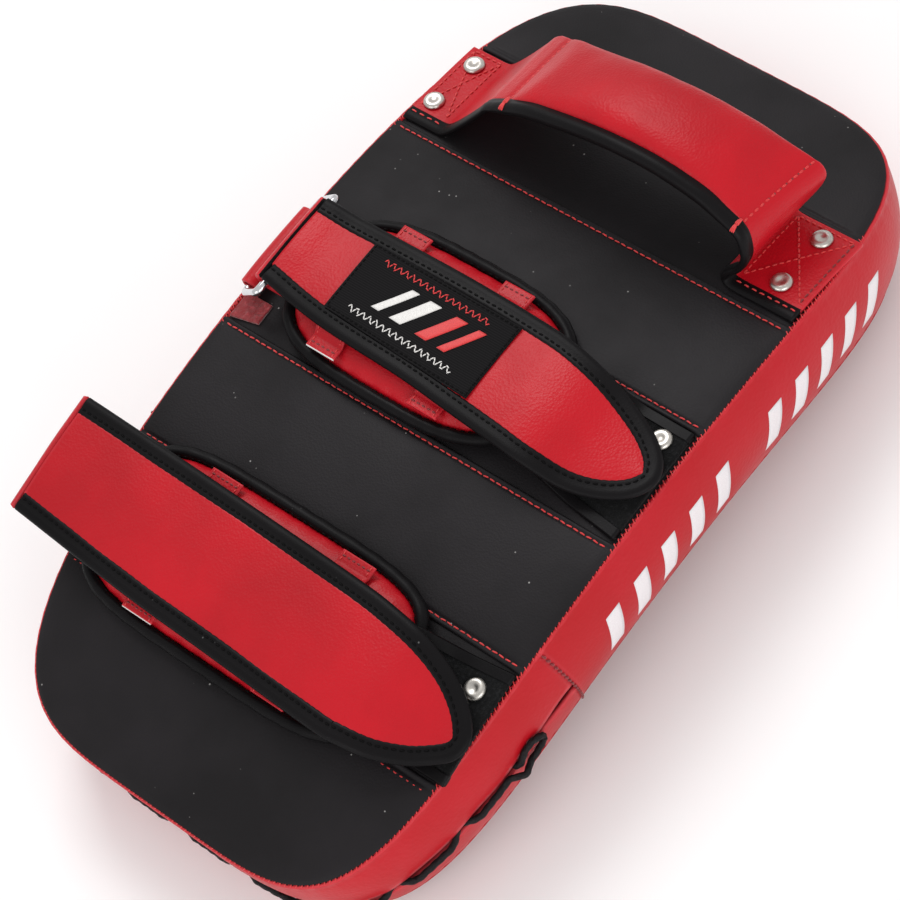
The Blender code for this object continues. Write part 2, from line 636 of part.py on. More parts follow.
def cuff_flap(name, edge, path, peel, hook_s):
    """The closing flap: red middle, black border sewn round it, and the hook patch under its tip."""
    loop, inner = open_frame(flap_loop(edge, path), BIND_W)
    cols = steps(0.0, path.length, 9.0)[1:-1]
    plate(name + "_flap_binding", loop, -BIND_UNDER, BIND_T / 2.0, BLACK_BINDING, path.lay, columns=cols,
          hole=inner, origin=peel)
    field = open_frame(flap_loop(edge, path), BIND_W + 0.3)[1]
    field = [(x + 0.3 if x < 0.7 else x, s) for x, s in field]
    plate(name + "_flap", field, -STRAP_T / 2.0, STRAP_T / 2.0, RED_LEATHER, path.lay, columns=cols,
          rows=steps(min(s for x, s in field), max(s for x, s in field), 14.0)[1:-1], origin=peel)
    start = path.points[0][0]
    patch = even([(46.0 - start, hook_s[0]), (76.0 - start, hook_s[0]), (76.0 - start, hook_s[1]),
                  (46.0 - start, hook_s[1])], 24)
    plate(name + "_flap_hook_patch", patch, -STRAP_T / 2.0 - 1.3, -STRAP_T / 2.0 - 0.3, LOOP_PILE, path.lay,
          columns=cols, rows=[hook_s[0] + 9.5, hook_s[0] + 19.0], origin=peel)


# Upper cuff: one strap from the right seam over the cushion, round the ring and back.
upper_outline = even(oval(-18.5, 15.7, 61.5, 36.3, 3.2, 200), 44)
cuff_cushion("upper", upper_outline, ((-54.0, -39.0), (-2.0, 13.0)), (-5.2, 35.6), UPPER_LIFT)
U = UPPER_CARRIER
carrier_loop = [(0.0, -17.0), (U.reach(60.0), -12.5), (U.reach(0.0), -5.0), (U.reach(-60.0), -3.4),
                (U.length, -3.4), (U.length, 36.6), (U.reach(-60.0), 35.4), (U.reach(0.0), 35.4),
                (U.reach(60.0), 33.6), (0.0, 33.0)]
carrier_cols = steps(2.0, U.reach(46.0), 4.0) + steps(U.reach(42.0), U.reach(-74.0), 16.0)
carrier_cols += steps(U.reach(-82.5), U.length, 1.9)[:-1]
plate("upper_strap", carrier_loop, -STRAP_T / 2.0, STRAP_T / 2.0, LOOP_PILE, U.lay, columns=carrier_cols,
      rows=(-6.0, 7.0, 20.0), origin=UPPER_LIFT)
cuff_flap("upper", UPPER_FLAP_EDGE, UPPER_FLAP, UPPER_PEEL, (-3.0, 20.0))
label_low = UPPER_FLAP.points[0][0]
label = [(-53.0 - label_low, 1.0), (22.0 - label_low, -2.2), (22.5 - label_low, 28.2),
         (-52.5 - label_low, 29.0)]
plate("upper_flap_label", label, STRAP_T / 2.0 + 0.1, STRAP_T / 2.0 + 0.8, LABEL_CLOTH, UPPER_FLAP.lay,
      columns=steps(30.0, 104.0, 12.0), rows=(8.0, 20.0), origin=UPPER_PEEL)

ring_u = math.hypot(RING_INNER[0] - RING_OUTER[0], RING_INNER[1] - RING_OUTER[1])
ring_half = (RING_S[1] - RING_S[0]) / 2.0
ring_loop = even(oval(ring_u / 2.0, sum(RING_S) / 2.0, ring_u / 2.0, ring_half, RING_SQUARE, 200), 44)
ring_points = []
for u, s in ring_loop:
    k = u / ring_u
    x = RING_OUTER[0] + (RING_INNER[0] - RING_OUTER[0]) * k
    h = RING_OUTER[1] + (RING_INNER[1] - RING_OUTER[1]) * k
    ring_points.append(bend(x, s, h))
cord("upper_ring", ring_points, RING_WIRE, CHROME, closed=True, origin=UPPER_LIFT, resolution=2)
TAB = Path([(-96.6, -1.0), (-97.5, 1.6)] + arc_knots(RING_OUTER, 3.4, 185.0, -5.0, 8)
           + [(-92.6, 2.2), (-94.2, -1.0)])
tab_loop = [(0.0, -5.2), (TAB.length, -5.2), (TAB.length, 33.6), (0.0, 33.6)]
plate("upper_ring_tab", tab_loop, -0.8, 0.8, RED_LEATHER, TAB.lay, columns=steps(0.0, TAB.length, 1.6)[1:-1],
      rows=(8.0, 21.0))
base_loop = [(-95.5, -17.6), (-84.5, -15.0), (-84.5, -6.0), (-95.5, -6.0)]
plate("upper_tab_base", base_loop, -1.4, -0.2, RED_CLOTH, bend)

# Lower cuff: the flap is sewn into the left seam and folds back over the strap from the right seam.
lower_outline = even(oval(-13.0, -104.0, 74.5, 36.7, 4.4, 200), 48)
cuff_cushion("lower", lower_outline, ((-54.0, -38.0), (14.0, 30.5)), (-125.6, -82.6), LOWER_LIFT)
L = LOWER_CARRIER
lower_loop = [(0.0, -125.6), (L.reach(60.0), -126.0), (L.length, -125.0), (L.length, -83.0),
              (L.reach(60.0), -82.8), (0.0, -78.2)]
lower_cols = steps(2.0, L.reach(58.0), 4.0) + steps(L.reach(50.0), L.length - 10.0, 18.0)
plate("lower_strap", lower_loop, -STRAP_T / 2.0, STRAP_T / 2.0, LOOP_PILE, L.lay, columns=lower_cols,
      rows=(-115.0, -103.0, -91.0), origin=LOWER_LIFT)
cuff_flap("lower", LOWER_FLAP_EDGE, LOWER_FLAP, LOWER_PEEL, (-120.5, -97.5))
root = [(0.0, -125.0), (LOWER_ROOT.length, -127.0), (LOWER_ROOT.length, -76.4), (0.0, -78.6)]
plate("lower_strap_root", root, -STRAP_T / 2.0, STRAP_T / 2.0, RED_LEATHER, LOWER_ROOT.lay,
      columns=steps(0.0, LOWER_ROOT.length, 1.9)[1:-1], rows=(-115.0, -103.0, -91.0))

STRAP_RIVETS = (("upper_strap_rivet_near", 88.6, 1.0), ("upper_strap_rivet_far", 88.6, 24.6),
                ("lower_strap_rivet_near", 87.4, -117.5), ("lower_strap_rivet_far", 87.4, -90.2))
for name, x, s in STRAP_RIVETS:
    rivet(name, x, s, 1.1)
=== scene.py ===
"""Looks of the Thai pad: leather, stitching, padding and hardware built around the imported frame."""
import math

import bmesh
import bpy
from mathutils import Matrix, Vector, noise


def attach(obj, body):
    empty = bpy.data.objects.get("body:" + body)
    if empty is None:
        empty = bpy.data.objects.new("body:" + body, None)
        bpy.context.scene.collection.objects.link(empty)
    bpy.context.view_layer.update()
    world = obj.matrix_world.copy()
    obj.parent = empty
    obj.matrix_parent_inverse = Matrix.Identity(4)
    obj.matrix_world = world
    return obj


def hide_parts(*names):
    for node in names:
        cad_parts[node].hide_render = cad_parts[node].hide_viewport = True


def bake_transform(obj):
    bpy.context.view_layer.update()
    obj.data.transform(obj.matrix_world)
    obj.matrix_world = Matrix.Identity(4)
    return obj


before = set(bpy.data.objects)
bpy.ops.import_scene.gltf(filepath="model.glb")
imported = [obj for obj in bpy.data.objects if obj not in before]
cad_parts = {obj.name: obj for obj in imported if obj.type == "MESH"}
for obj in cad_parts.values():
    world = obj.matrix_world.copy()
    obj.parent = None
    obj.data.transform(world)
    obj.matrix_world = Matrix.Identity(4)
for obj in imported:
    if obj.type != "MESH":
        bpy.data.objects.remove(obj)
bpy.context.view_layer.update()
MM = 0.001

# ---------------------------------------------------------------- dimensions of the pad, as in the part
HALF_LEN = 192.0
HALF_WID = 100.0
THICK = 50.0
ARC_R = 634.5
CORNER_POWER = 5.0
WALL_BULGE = 7.2
HANDLE_END_SKEW = -0.03
LEATHER = 1.5
PANEL_INSET = 2.1
LAND_CUT = 1.0
ARC_Z = -(ARC_R - THICK) * math.cos(HALF_LEN / ARC_R) - LAND_CUT
SHIFT_X = 5.1
SEAM_HANDLE_TOP = 137.5
SEAM_HANDLE_LOW = 90.3
SEAM_UPPER_TOP = 34.0
SEAM_UPPER_LOW = -18.4
SEAM_LOWER_TOP = -77.0
SEAM_LOWER_LOW = -126.8
END_WALL_SEAM = -66.7
SLIT_H = -27.0
SLIT_GAP = 3.6
LACE_R = 1.3
STRAP_T = 2.2
BIND_W = 7.5
RING_OUTER = (-94.8, 5.4)
RING_INNER = (-83.5, 14.9)
CUSHION_LOW = 0.9
CUSHION_TOP = 9.6
PIPING_R = 2.6
RIVET_R = 4.6
RIVET_H = 1.8


def bend(x, s, h):
    """Pad coordinates in millimetres (across, along the back, above the back) to the frame in metres."""
    a = s / ARC_R
    y = (ARC_R + h) * math.sin(a)
    z = ARC_Z + (ARC_R + h) * math.cos(a)
    return Vector(((x + SHIFT_X) * MM, y * MM, z * MM))


def ripple(x, s, size, seed=0.0):
    """Smooth irregular swell between about -1 and 1 with a wavelength of `size` millimetres."""
    return noise.noise(Vector((x / size, s / size, seed)))


# ---------------------------------------------------------------- materials


def new_node(tree, kind, values=(), **settings):
    made = tree.nodes.new(kind)
    for key, value in settings.items():
        setattr(made, key, value)
    for key, value in values:
        made.inputs[key].default_value = value
    return made


class Finish:
    """A principled material with helpers for colour variation and layered bump."""

    def __init__(self, name, colour, rough, metallic=0.0, sockets=()):
        self.mat = bpy.data.materials.new(name)
        self.mat.use_nodes = True
        self.tree = self.mat.node_tree
        self.shader = self.tree.nodes["Principled BSDF"]
        self.colour = self.rgb(colour)
        self.shader.inputs["Base Color"].default_value = self.colour
        self.shader.inputs["Roughness"].default_value = rough
        self.shader.inputs["Metallic"].default_value = metallic
        for key, value in sockets:
            self.shader.inputs[key].default_value = value
        self.coords = new_node(self.tree, "ShaderNodeTexCoord").outputs["Object"]
        self.mixed = None
        self.normal = None

    def rgb(self, colour):
        return (*colour, 1.0)

    def join(self, a, b):
        self.tree.links.new(a, b)

    def noise(self, scale, detail=2.0, rough=0.55, stretch=None):
        made = new_node(self.tree, "ShaderNodeTexNoise",
                        (("Scale", scale), ("Detail", detail), ("Roughness", rough)))
        self.join(self.placed(stretch), made.inputs["Vector"])
        return made.outputs["Fac"]

    def cells(self, scale, stretch=None):
        made = new_node(self.tree, "ShaderNodeTexVoronoi", (("Scale", scale),))
        self.join(self.placed(stretch), made.inputs["Vector"])
        return made.outputs["Distance"]

    def wave(self, scale, direction, distortion=0.0):
        made = new_node(self.tree, "ShaderNodeTexWave", (("Scale", scale), ("Distortion", distortion)),
                        wave_type="BANDS", bands_direction=direction)
        self.join(self.coords, made.inputs["Vector"])
        return made.outputs["Fac"]

    def placed(self, stretch):
        if stretch is None:
            return self.coords
        made = new_node(self.tree, "ShaderNodeMapping", (("Scale", stretch),))
        self.join(self.coords, made.inputs["Vector"])
        return made.outputs["Vector"]

    def ramp(self, source, low, high, out_low=0.0, out_high=1.0):
        made = new_node(self.tree, "ShaderNodeMapRange", (("From Min", low), ("From Max", high),
                                                         ("To Min", out_low), ("To Max", out_high)))
        self.join(source, made.inputs["Value"])
        return made.outputs["Result"]

    def times(self, a, b):
        made = new_node(self.tree, "ShaderNodeMath", operation="MULTIPLY")
        self.join(a, made.inputs[0])
        self.join(b, made.inputs[1])
        return made.outputs["Value"]

    def tint(self, mask, colour):
        """Lay a second colour over the first where the mask is 1."""
        made = new_node(self.tree, "ShaderNodeMix", data_type="RGBA")
        if self.mixed is None:
            made.inputs[6].default_value = self.colour
        else:
            self.join(self.mixed, made.inputs[6])
        made.inputs[7].default_value = self.rgb(colour)
        self.join(mask, made.inputs[0])
        self.mixed = made.outputs[2]
        self.join(self.mixed, self.shader.inputs["Base Color"])
        return self

    def roughness(self, source, low, high):
        self.join(self.ramp(source, 0.3, 0.7, low, high), self.shader.inputs["Roughness"])
        return self

    def bump(self, height, depth, strength=1.0):
        """Add a bump layer, `depth` in millimetres."""
        made = new_node(self.tree, "ShaderNodeBump", (("Strength", strength), ("Distance", depth * MM)))
        self.join(height, made.inputs["Height"])
        if self.normal is not None:
            self.join(self.normal, made.inputs["Normal"])
        self.normal = made.outputs["Normal"]
        self.join(self.normal, self.shader.inputs["Normal"])
        return self

    def painted_highlight_mask(self):
        """Mask of convex edges, where a painted highlight lightens the colour."""
        geometry = new_node(self.tree, "ShaderNodeNewGeometry")
        return self.ramp(geometry.outputs["Pointiness"], 0.515, 0.58)


def leather(name, colour, deep, painted_highlight, rough, grain=950.0, depth=0.16, specks=None, sockets=()):
    """Coated leather: pebble grain, slow colour drift, a painted highlight on convex edges and, if asked,
    caught lint.
    """
    made = Finish(name, colour, rough, sockets=sockets)
    drift = made.noise(16.0, 4.0)
    made.tint(made.ramp(drift, 0.42, 0.68), deep)
    pores = made.cells(grain)
    made.tint(made.ramp(pores, 0.02, 0.3, 0.35, 0.0), deep)
    # Painted highlight: convex edges are lightened toward the fourth colour given.
    made.tint(made.ramp(made.painted_highlight_mask(), 0.0, 1.0, 0.0, 0.45), painted_highlight)
    if specks is not None:
        lint = made.ramp(made.cells(210.0), 0.05, 0.09, 1.0, 0.0)
        chosen = made.ramp(made.noise(90.0, 1.0), 0.6, 0.66)
        made.tint(made.times(lint, chosen), specks)
    made.roughness(drift, rough - 0.05, rough + 0.09)
    made.bump(pores, depth, 0.65)
    made.bump(made.noise(grain * 2.4, 2.0), depth * 0.4, 0.5)
    made.bump(made.noise(60.0, 3.0), 0.5, 0.35)
    return made.mat


def pile(name, colour, tuft, lint, scale=700.0, sheen=0.35):
    """Brushed loop pile with a little caught fluff."""
    made = Finish(name, colour, 0.95, sockets=(("Sheen Weight", sheen), ("Sheen Roughness", 0.6),
                                               ("Specular IOR Level", 0.1)))
    loops = made.noise(scale, 3.0, 0.7)
    made.tint(made.ramp(loops, 0.52, 0.72), tuft)
    fluff = made.ramp(made.cells(160.0, stretch=(1.0, 0.25, 1.0)), 0.04, 0.08, 1.0, 0.0)
    made.tint(made.times(fluff, made.ramp(made.noise(70.0, 1.0), 0.56, 0.62)), lint)
    made.bump(loops, 0.9, 1.0)
    made.bump(made.cells(scale * 0.8), 0.4, 0.6)
    return made.mat


def thread(name, colour, shade, sheen=0.2, shine=0.5):
    """Polyester sewing thread with its twist."""
    made = Finish(name, colour, 0.5, sockets=(("Sheen Weight", sheen), ("Specular IOR Level", shine)))
    fibre = made.noise(3200.0, 2.0)
    made.tint(made.ramp(fibre, 0.35, 0.65), shade)
    made.bump(fibre, 0.06, 0.8)
    return made.mat


def metal(name, colour, rough, soil):
    made = Finish(name, colour, rough, metallic=1.0)
    smear = made.noise(220.0, 4.0, 0.65)
    made.tint(made.ramp(smear, 0.55, 0.75, 0.0, 0.5), soil)
    made.roughness(smear, rough - 0.04, rough + 0.12)
    made.bump(made.noise(900.0, 2.0, stretch=(1.0, 6.0, 1.0)), 0.02, 0.4)
    return made.mat


def foam(name, colour, shade):
    made = Finish(name, colour, 0.9)
    made.tint(made.ramp(made.cells(420.0), 0.1, 0.5), shade)
    made.bump(made.cells(420.0), 0.3, 0.7)
    return made.mat


# The fourth colour of each leather is the painted highlight laid on its convex edges.
RED = leather("red_leather", (0.49, 0.006, 0.014), (0.39, 0.004, 0.010), (0.78, 0.07, 0.09), 0.38,
              sockets=(("Specular IOR Level", 0.22),))
RED_WALL = leather("red_wall_leather", (0.48, 0.006, 0.014), (0.43, 0.005, 0.009), (0.78, 0.09, 0.11), 0.36,
                   grain=620.0, depth=0.13, sockets=(("Specular IOR Level", 0.22),))
BLACK = leather("black_leather", (0.0125, 0.0105, 0.0120), (0.008, 0.0068, 0.0076), (0.035, 0.032, 0.035),
                0.55, grain=1100.0, depth=0.1, specks=(0.32, 0.31, 0.3),
                sockets=(("Specular IOR Level", 0.16),))
BINDING = leather("black_binding", (0.0060, 0.0052, 0.0058), (0.0035, 0.0031, 0.0035), (0.011, 0.010, 0.011),
                  0.42, grain=1500.0, depth=0.05, specks=(0.1, 0.1, 0.1),
                  sockets=(("Specular IOR Level", 0.09),))
LOOP = pile("loop_pile", (0.004, 0.004, 0.0043), (0.013, 0.013, 0.014), (0.3, 0.3, 0.3), sheen=0.05)
FLEECE = pile("red_fleece", (0.22, 0.012, 0.016), (0.42, 0.05, 0.06), (0.8, 0.7, 0.7), 420.0)
RED_THREAD = thread("red_thread", (0.75, 0.03, 0.03), (0.5, 0.012, 0.014))
DEEP_THREAD = thread("deep_red_thread", (0.26, 0.006, 0.01), (0.13, 0.004, 0.006))
BLACK_THREAD = thread("black_thread", (0.0045, 0.004, 0.0045), (0.002, 0.002, 0.002), sheen=0.0, shine=0.06)
WHITE_THREAD = thread("white_thread", (0.85, 0.83, 0.8), (0.6, 0.58, 0.56))
NICKEL = metal("nickel", (0.58, 0.55, 0.51), 0.32, (0.36, 0.31, 0.27))
CHROME = metal("chrome", (0.66, 0.66, 0.68), 0.14, (0.3, 0.3, 0.32))
FOAM_WHITE = foam("foam_white", (0.8, 0.79, 0.76), (0.6, 0.59, 0.56))
FOAM_GREY = foam("foam_grey", (0.32, 0.33, 0.35), (0.2, 0.21, 0.22))
PRINT = thread("white_print", (0.84, 0.80, 0.81), (0.74, 0.68, 0.70))


def label_cloth():
    """Black damask label: fine ribs along its length."""
    made = Finish("label_cloth", (0.0060, 0.0055, 0.0060), 0.8, sockets=(("Sheen Weight", 0.02),
                                                                        ("Specular IOR Level", 0.08)))
    ribs = made.wave(330.0, "Y", 0.4)
    made.tint(made.ramp(ribs, 0.6, 1.0, 0.0, 0.7), (0.014, 0.013, 0.014))
    made.bump(ribs, 0.12, 0.5)
    made.bump(made.noise(2400.0), 0.05, 0.5)
    return made.mat


def cord_cloth():
    """Waxed braided cord."""
    made = Finish("lace_cord", (0.0065, 0.0058, 0.0065), 0.5, sockets=(("Specular IOR Level", 0.12),))
    braid = made.cells(1500.0)
    made.tint(made.ramp(braid, 0.2, 0.6), (0.014, 0.013, 0.014))
    made.bump(braid, 0.2, 0.9)
    return made.mat


LABEL = label_cloth()
LACE = cord_cloth()

# ---------------------------------------------------------------- mesh building


def make(name, verts, faces, mat):
    mesh = bpy.data.meshes.new(name)
    bm = bmesh.new()
    made = [bm.verts.new(v) for v in verts]
    for face in faces:
        bm.faces.new([made[i] for i in face])
    bmesh.ops.remove_doubles(bm, verts=bm.verts, dist=2e-6)
    bmesh.ops.recalc_face_normals(bm, faces=bm.faces)
    bm.to_mesh(mesh)
    bm.free()
    mesh.materials.append(mat)
    mesh.shade_smooth()
    obj = bpy.data.objects.new(name, mesh)
    bpy.context.scene.collection.objects.link(obj)
    return obj


def loft(name, rings, mat, closed=False):
    """Skin over a row of closed rings that all have the same number of points."""
    count = len(rings[0])
    verts = [p for ring in rings for p in ring]
    faces = []
    spans = len(rings) if closed else len(rings) - 1
    for i in range(spans):
        a = i * count
        b = (i + 1) % len(rings) * count
        for j in range(count):
            k = (j + 1) % count
            faces.append((a + j, b + j, b + k, a + k))
    if not closed:
        faces.append(tuple(range(count)))
        faces.append(tuple(range((len(rings) - 1) * count, len(rings) * count)))
    return make(name, verts, faces, mat)


def tube(name, centres, radius, mat, closed=False, sides=12, shape=None):
    """A round section along points in metres. `shape` gives the radius's factor for an angle and a place."""
    up = Vector((0.0, 0.0, 1.0))
    rings = []
    last = len(centres) - 1
    for i, c in enumerate(centres):
        ahead = centres[(i + 1) % len(centres)] if closed else centres[min(i + 1, last)]
        back = centres[i - 1] if closed else centres[max(i - 1, 0)]
        along = (ahead - back).normalized()
        wide = along.cross(up).normalized()
        tall = wide.cross(along)
        ring = []
        for j in range(sides):
            a = 2.0 * math.pi * j / sides
            r = radius * MM * (shape(a, i) if shape else 1.0)
            ring.append(c + wide * (r * math.cos(a)) + tall * (r * math.sin(a)))
        rings.append(ring)
    return loft(name, rings, mat, closed=closed)


def stitches(name, line, mat, pitch=3.6, fill=0.72, radius=0.42, lift=0.12, slant=0.0, wobble=0.12):
    """Thread stitches along a line of (point, outward normal), each a small arched lozenge."""
    run = [0.0]
    for (a, na), (b, nb) in zip(line, line[1:]):
        run.append(run[-1] + (b - a).length / MM)
    verts = []
    faces = []
    sides = 6
    profile = ((-1.0, 0.25, -0.35), (-0.8, 0.8, 0.0), (-0.3, 1.0, 0.3), (0.3, 1.0, 0.3), (0.8, 0.8, 0.0),
               (1.0, 0.25, -0.35))
    number = max(1, int(run[-1] / pitch))
    step = run[-1] / number
    i = 0
    for n in range(number):
        middle = (n + 0.5) * step
        while i < len(run) - 2 and run[i + 1] < middle:
            i += 1
        k = (middle - run[i]) / max(run[i + 1] - run[i], 1e-9)
        (a, na), (b, nb) = line[i], line[i + 1]
        centre = a.lerp(b, k)
        out = na.lerp(nb, k).normalized()
        along = (b - a).normalized()
        side = out.cross(along).normalized()
        turn = slant + wobble * math.sin(n * 2.4 + run[-1])
        along = (along * math.cos(turn) + side * math.sin(turn)).normalized()
        side = out.cross(along).normalized()
        half = 0.5 * step * fill
        base = len(verts)
        for t, fat, rise in profile:
            c = centre + along * (t * half * MM) + out * ((lift + rise * radius) * MM)
            for j in range(sides):
                ang = 2.0 * math.pi * j / sides
                verts.append(c + side * (radius * fat * math.cos(ang) * MM)
                             + out * (radius * 0.75 * fat * math.sin(ang) * MM))
        for r in range(len(profile) - 1):
            for j in range(sides):
                p = base + r * sides + j
                q = base + r * sides + (j + 1) % sides
                faces.append((p, p + sides, q + sides, q))
        faces.append(tuple(base + j for j in range(sides)))
        faces.append(tuple(base + (len(profile) - 1) * sides + j for j in range(sides)))
    return make(name, verts, faces, mat)


def normal_of(place, *at):
    """Outward normal of a surface given as place(a, b, height)."""
    a, b = at
    return (place(a, b, 1.0) - place(a, b, 0.0)).normalized()


def line_on(place, points, height, pitch=1.5):
    """Points and normals along a polyline drawn on a surface place(a, b, height)."""
    line = []
    for (a0, b0), (a1, b1) in zip(points, points[1:]):
        count = max(1, int(math.hypot(a1 - a0, b1 - b0) / pitch))
        for i in range(count + (1 if (a1, b1) == points[-1] else 0)):
            k = i / count
            a = a0 + (a1 - a0) * k
            b = b0 + (b1 - b0) * k
            line.append((place(a, b, height), normal_of(place, a, b)))
    return line


def steps(low, high, pitch):
    count = max(1, int(math.ceil((high - low) / pitch)))
    return [low + (high - low) * i / count for i in range(count + 1)]


def dense(low, high, pitch, fine, reach):
    """Positions from low to high, closer together near both ends."""
    if high - low <= 2.0 * reach:
        return steps(low, high, fine)
    return steps(low, low + reach, fine)[:-1] + steps(low + reach, high - reach, pitch)[:-1] \
        + steps(high - reach, high, fine)


def signed_power(value, power):
    return math.copysign(abs(value) ** power, value)


def cosine_step(j, count):
    """Positions from -1 to 1, closer together near both ends."""
    return -math.cos(math.pi * j / count)


def run_of(points):
    """Distance along a row of points, at each of them."""
    run = [0.0]
    for a, b in zip(points, points[1:]):
        run.append(run[-1] + math.hypot(b[0] - a[0], b[1] - a[1]))
    return run


def oval(cx, cs, half_x, half_s, power, count):
    points = []
    for i in range(count):
        a = 2.0 * math.pi * (i + 0.5) / count
        points.append((cx + half_x * signed_power(math.cos(a), 2.0 / power),
                       cs + half_s * signed_power(math.sin(a), 2.0 / power)))
    return points


def even(loop, count):
    closed = loop + [loop[0]]
    run = run_of(closed)
    points = []
    j = 0
    for i in range(count):
        want = run[-1] * i / count
        while run[j + 1] < want:
            j += 1
        k = (want - run[j]) / (run[j + 1] - run[j])
        points.append((closed[j][0] + (closed[j + 1][0] - closed[j][0]) * k,
                       closed[j][1] + (closed[j + 1][1] - closed[j][1]) * k))
    return points


def outward(loop):
    """Outward normal at each point of an anticlockwise outline."""
    normals = []
    for i in range(len(loop)):
        ahead = loop[(i + 1) % len(loop)]
        back = loop[i - 1]
        tx = ahead[0] - back[0]
        ts = ahead[1] - back[1]
        size = math.hypot(tx, ts)
        normals.append((ts / size, -tx / size))
    return normals


def shrink(loop, amount):
    return [(x - nx * amount, s - ns * amount) for (x, s), (nx, ns) in zip(loop, outward(loop))]


def curve_point(b, c, before, after, t):
    """Smooth curve between b and c at t, for numbers or for vectors."""
    return 0.5 * (2 * b + (c - before) * t + (2 * before - 5 * b + 4 * c - after) * t * t
                  + (3 * b - before - 3 * c + after) * t ** 3)


def spline(knots, pitch):
    points = []
    for i in range(len(knots) - 1):
        p0, p1, p2, p3 = knots[max(i - 1, 0)], knots[i], knots[i + 1], knots[min(i + 2, len(knots) - 1)]
        count = max(1, int(round(math.hypot(p2[0] - p1[0], p2[1] - p1[1]) / pitch)))
        for j in range(count):
            points.append(tuple(curve_point(b, c, a, d, j / count) for a, b, c, d in zip(p0, p1, p2, p3)))
    points.append(tuple(knots[-1]))
    return points


class Path:
    """A path in the x-h plane, read by the distance u along it."""

    def __init__(self, knots, pitch=0.6):
        self.points = spline(knots, pitch)
        self.run = run_of(self.points)
        self.length = self.run[-1]

    def index(self, u):
        low = 0
        high = len(self.run) - 2
        while low < high:
            mid = (low + high) // 2
            if self.run[mid + 1] < u:
                low = mid + 1
            else:
                high = mid
        return low

    def at(self, u):
        u = min(max(u, 0.0), self.length)
        i = self.index(u)
        a = self.points[i]
        b = self.points[i + 1]
        k = (u - self.run[i]) / (self.run[i + 1] - self.run[i])
        before = self.points[max(i - 2, 0)]
        after = self.points[min(i + 3, len(self.points) - 1)]
        tx = after[0] - before[0]
        th = after[1] - before[1]
        size = math.hypot(tx, th)
        return (a[0] + (b[0] - a[0]) * k, a[1] + (b[1] - a[1]) * k), (-th / size, tx / size)

    def lay(self, u, s, t):
        (x, h), (nx, nh) = self.at(u)
        return bend(x + nx * t, s, h + nh * t)

    def reach(self, x):
        for i, point in enumerate(self.points):
            if (point[0] - x) * (self.points[0][0] - x) <= 0.0:
                return self.run[i]
        return self.length


def arc_knots(centre, radius, start, stop, count):
    knots = []
    for i in range(count + 1):
        a = math.radians(start + (stop - start) * i / count)
        knots.append((centre[0] + radius * math.cos(a), centre[1] + radius * math.sin(a)))
    return knots


def body_width(s):
    if s > 30.0:
        return HALF_WID
    return HALF_WID * (1.0 - 0.035 * ((30.0 - s) / 220.0) ** 2)


def skewed(x, s):
    return s + HANDLE_END_SKEW * x * (max(0.0, s - 60.0) / (HALF_LEN - 60.0)) ** 2


def half_width(s, inset):
    """Half width of the plan at s, before the end's skew."""
    r = min(abs(s) / (HALF_LEN - inset), 1.0)
    return (body_width(s) - inset) * (1.0 - r ** CORNER_POWER) ** (1.0 / CORNER_POWER)


def end_gap(x, s, inset):
    """Distance along the back from s to the end of the plan at x."""
    reach = max(0.0, 1.0 - (abs(x) / (HALF_WID - inset)) ** CORNER_POWER) ** (1.0 / CORNER_POWER)
    return (HALF_LEN - inset) * reach - abs(s)


def body_outline(count):
    points = []
    for x, s in oval(0.0, 0.0, 1.0, HALF_LEN, CORNER_POWER, 1600):
        x *= body_width(s)
        points.append((x, skewed(x, s)))
    return even(points, count)


def interpolate(knots, u):
    """Piecewise smooth value from (u, value) pairs with u rising."""
    if u <= knots[0][0]:
        return knots[0][1]
    for (a, p), (b, q) in zip(knots, knots[1:]):
        if u <= b:
            return p + (q - p) * (u - a) / (b - a)
    return knots[-1][1]


# ---------------------------------------------------------------- foam inside
for node, mat in (("strike_foam", FOAM_WHITE), ("core_foam", FOAM_GREY), ("back_foam", FOAM_WHITE)):
    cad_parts[node].material_slots[0].material = mat


def keep(obj, body, slot, *nodes):
    """The piece rides on a body and stands for CAD nodes, which it hides; the slot argument is not used."""
    if nodes:
        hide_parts(*nodes)
    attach(obj, body)
    return obj


def sew(name, line, mat, body, slot="red_leather", **form):
    """Stitches that ride on a body."""
    keep(stitches(name, line, mat, **form), body, slot)


# ---------------------------------------------------------------- walls
OUTLINE = body_outline(460)
NORMALS = outward(OUTLINE)


def wall_bulge(h, s):
    fullness = 1.0 - 0.4 * (s / HALF_LEN) ** 2
    return WALL_BULGE * fullness * math.sin(math.pi * min(1.0, max(0.0, -h / THICK))) ** 0.85


def wall_point(i, h, lift=0.0):
    """Outer surface of the wall at outline point i and height h, with gathers at both seams."""
    x, s = OUTLINE[i]
    nx, ns = NORMALS[i]
    edge = min(-h, THICK + h)
    gather = 0.34 * math.exp(-max(edge, 0.0) / 4.5) * math.sin(i * 1.9 + 1.4 * ripple(x, s, 13.0))
    swell = 0.7 * ripple(x + s, h, 34.0, 2.0) * min(1.0, max(edge, 0.0) / 8.0)
    o = wall_bulge(h, s) + gather + swell + lift
    return bend(x + nx * o, s + ns * o, h)


# Rolled edges of the wall leather: distance out from the outline, and height above the edge.
TOP_ROLL = ((-1.6, -2.2), (-1.2, -1.5), (-0.7, -1.05), (-0.1, -0.85), (0.5, -0.95), (1.0, -1.4))
LOW_ROLL = ((0.9, 1.0), (0.5, 0.5), (-0.2, 0.3), (-1.2, 0.8))
TOP_ROLL_DROP = 2.0
FLOOR_CLEAR = 0.1


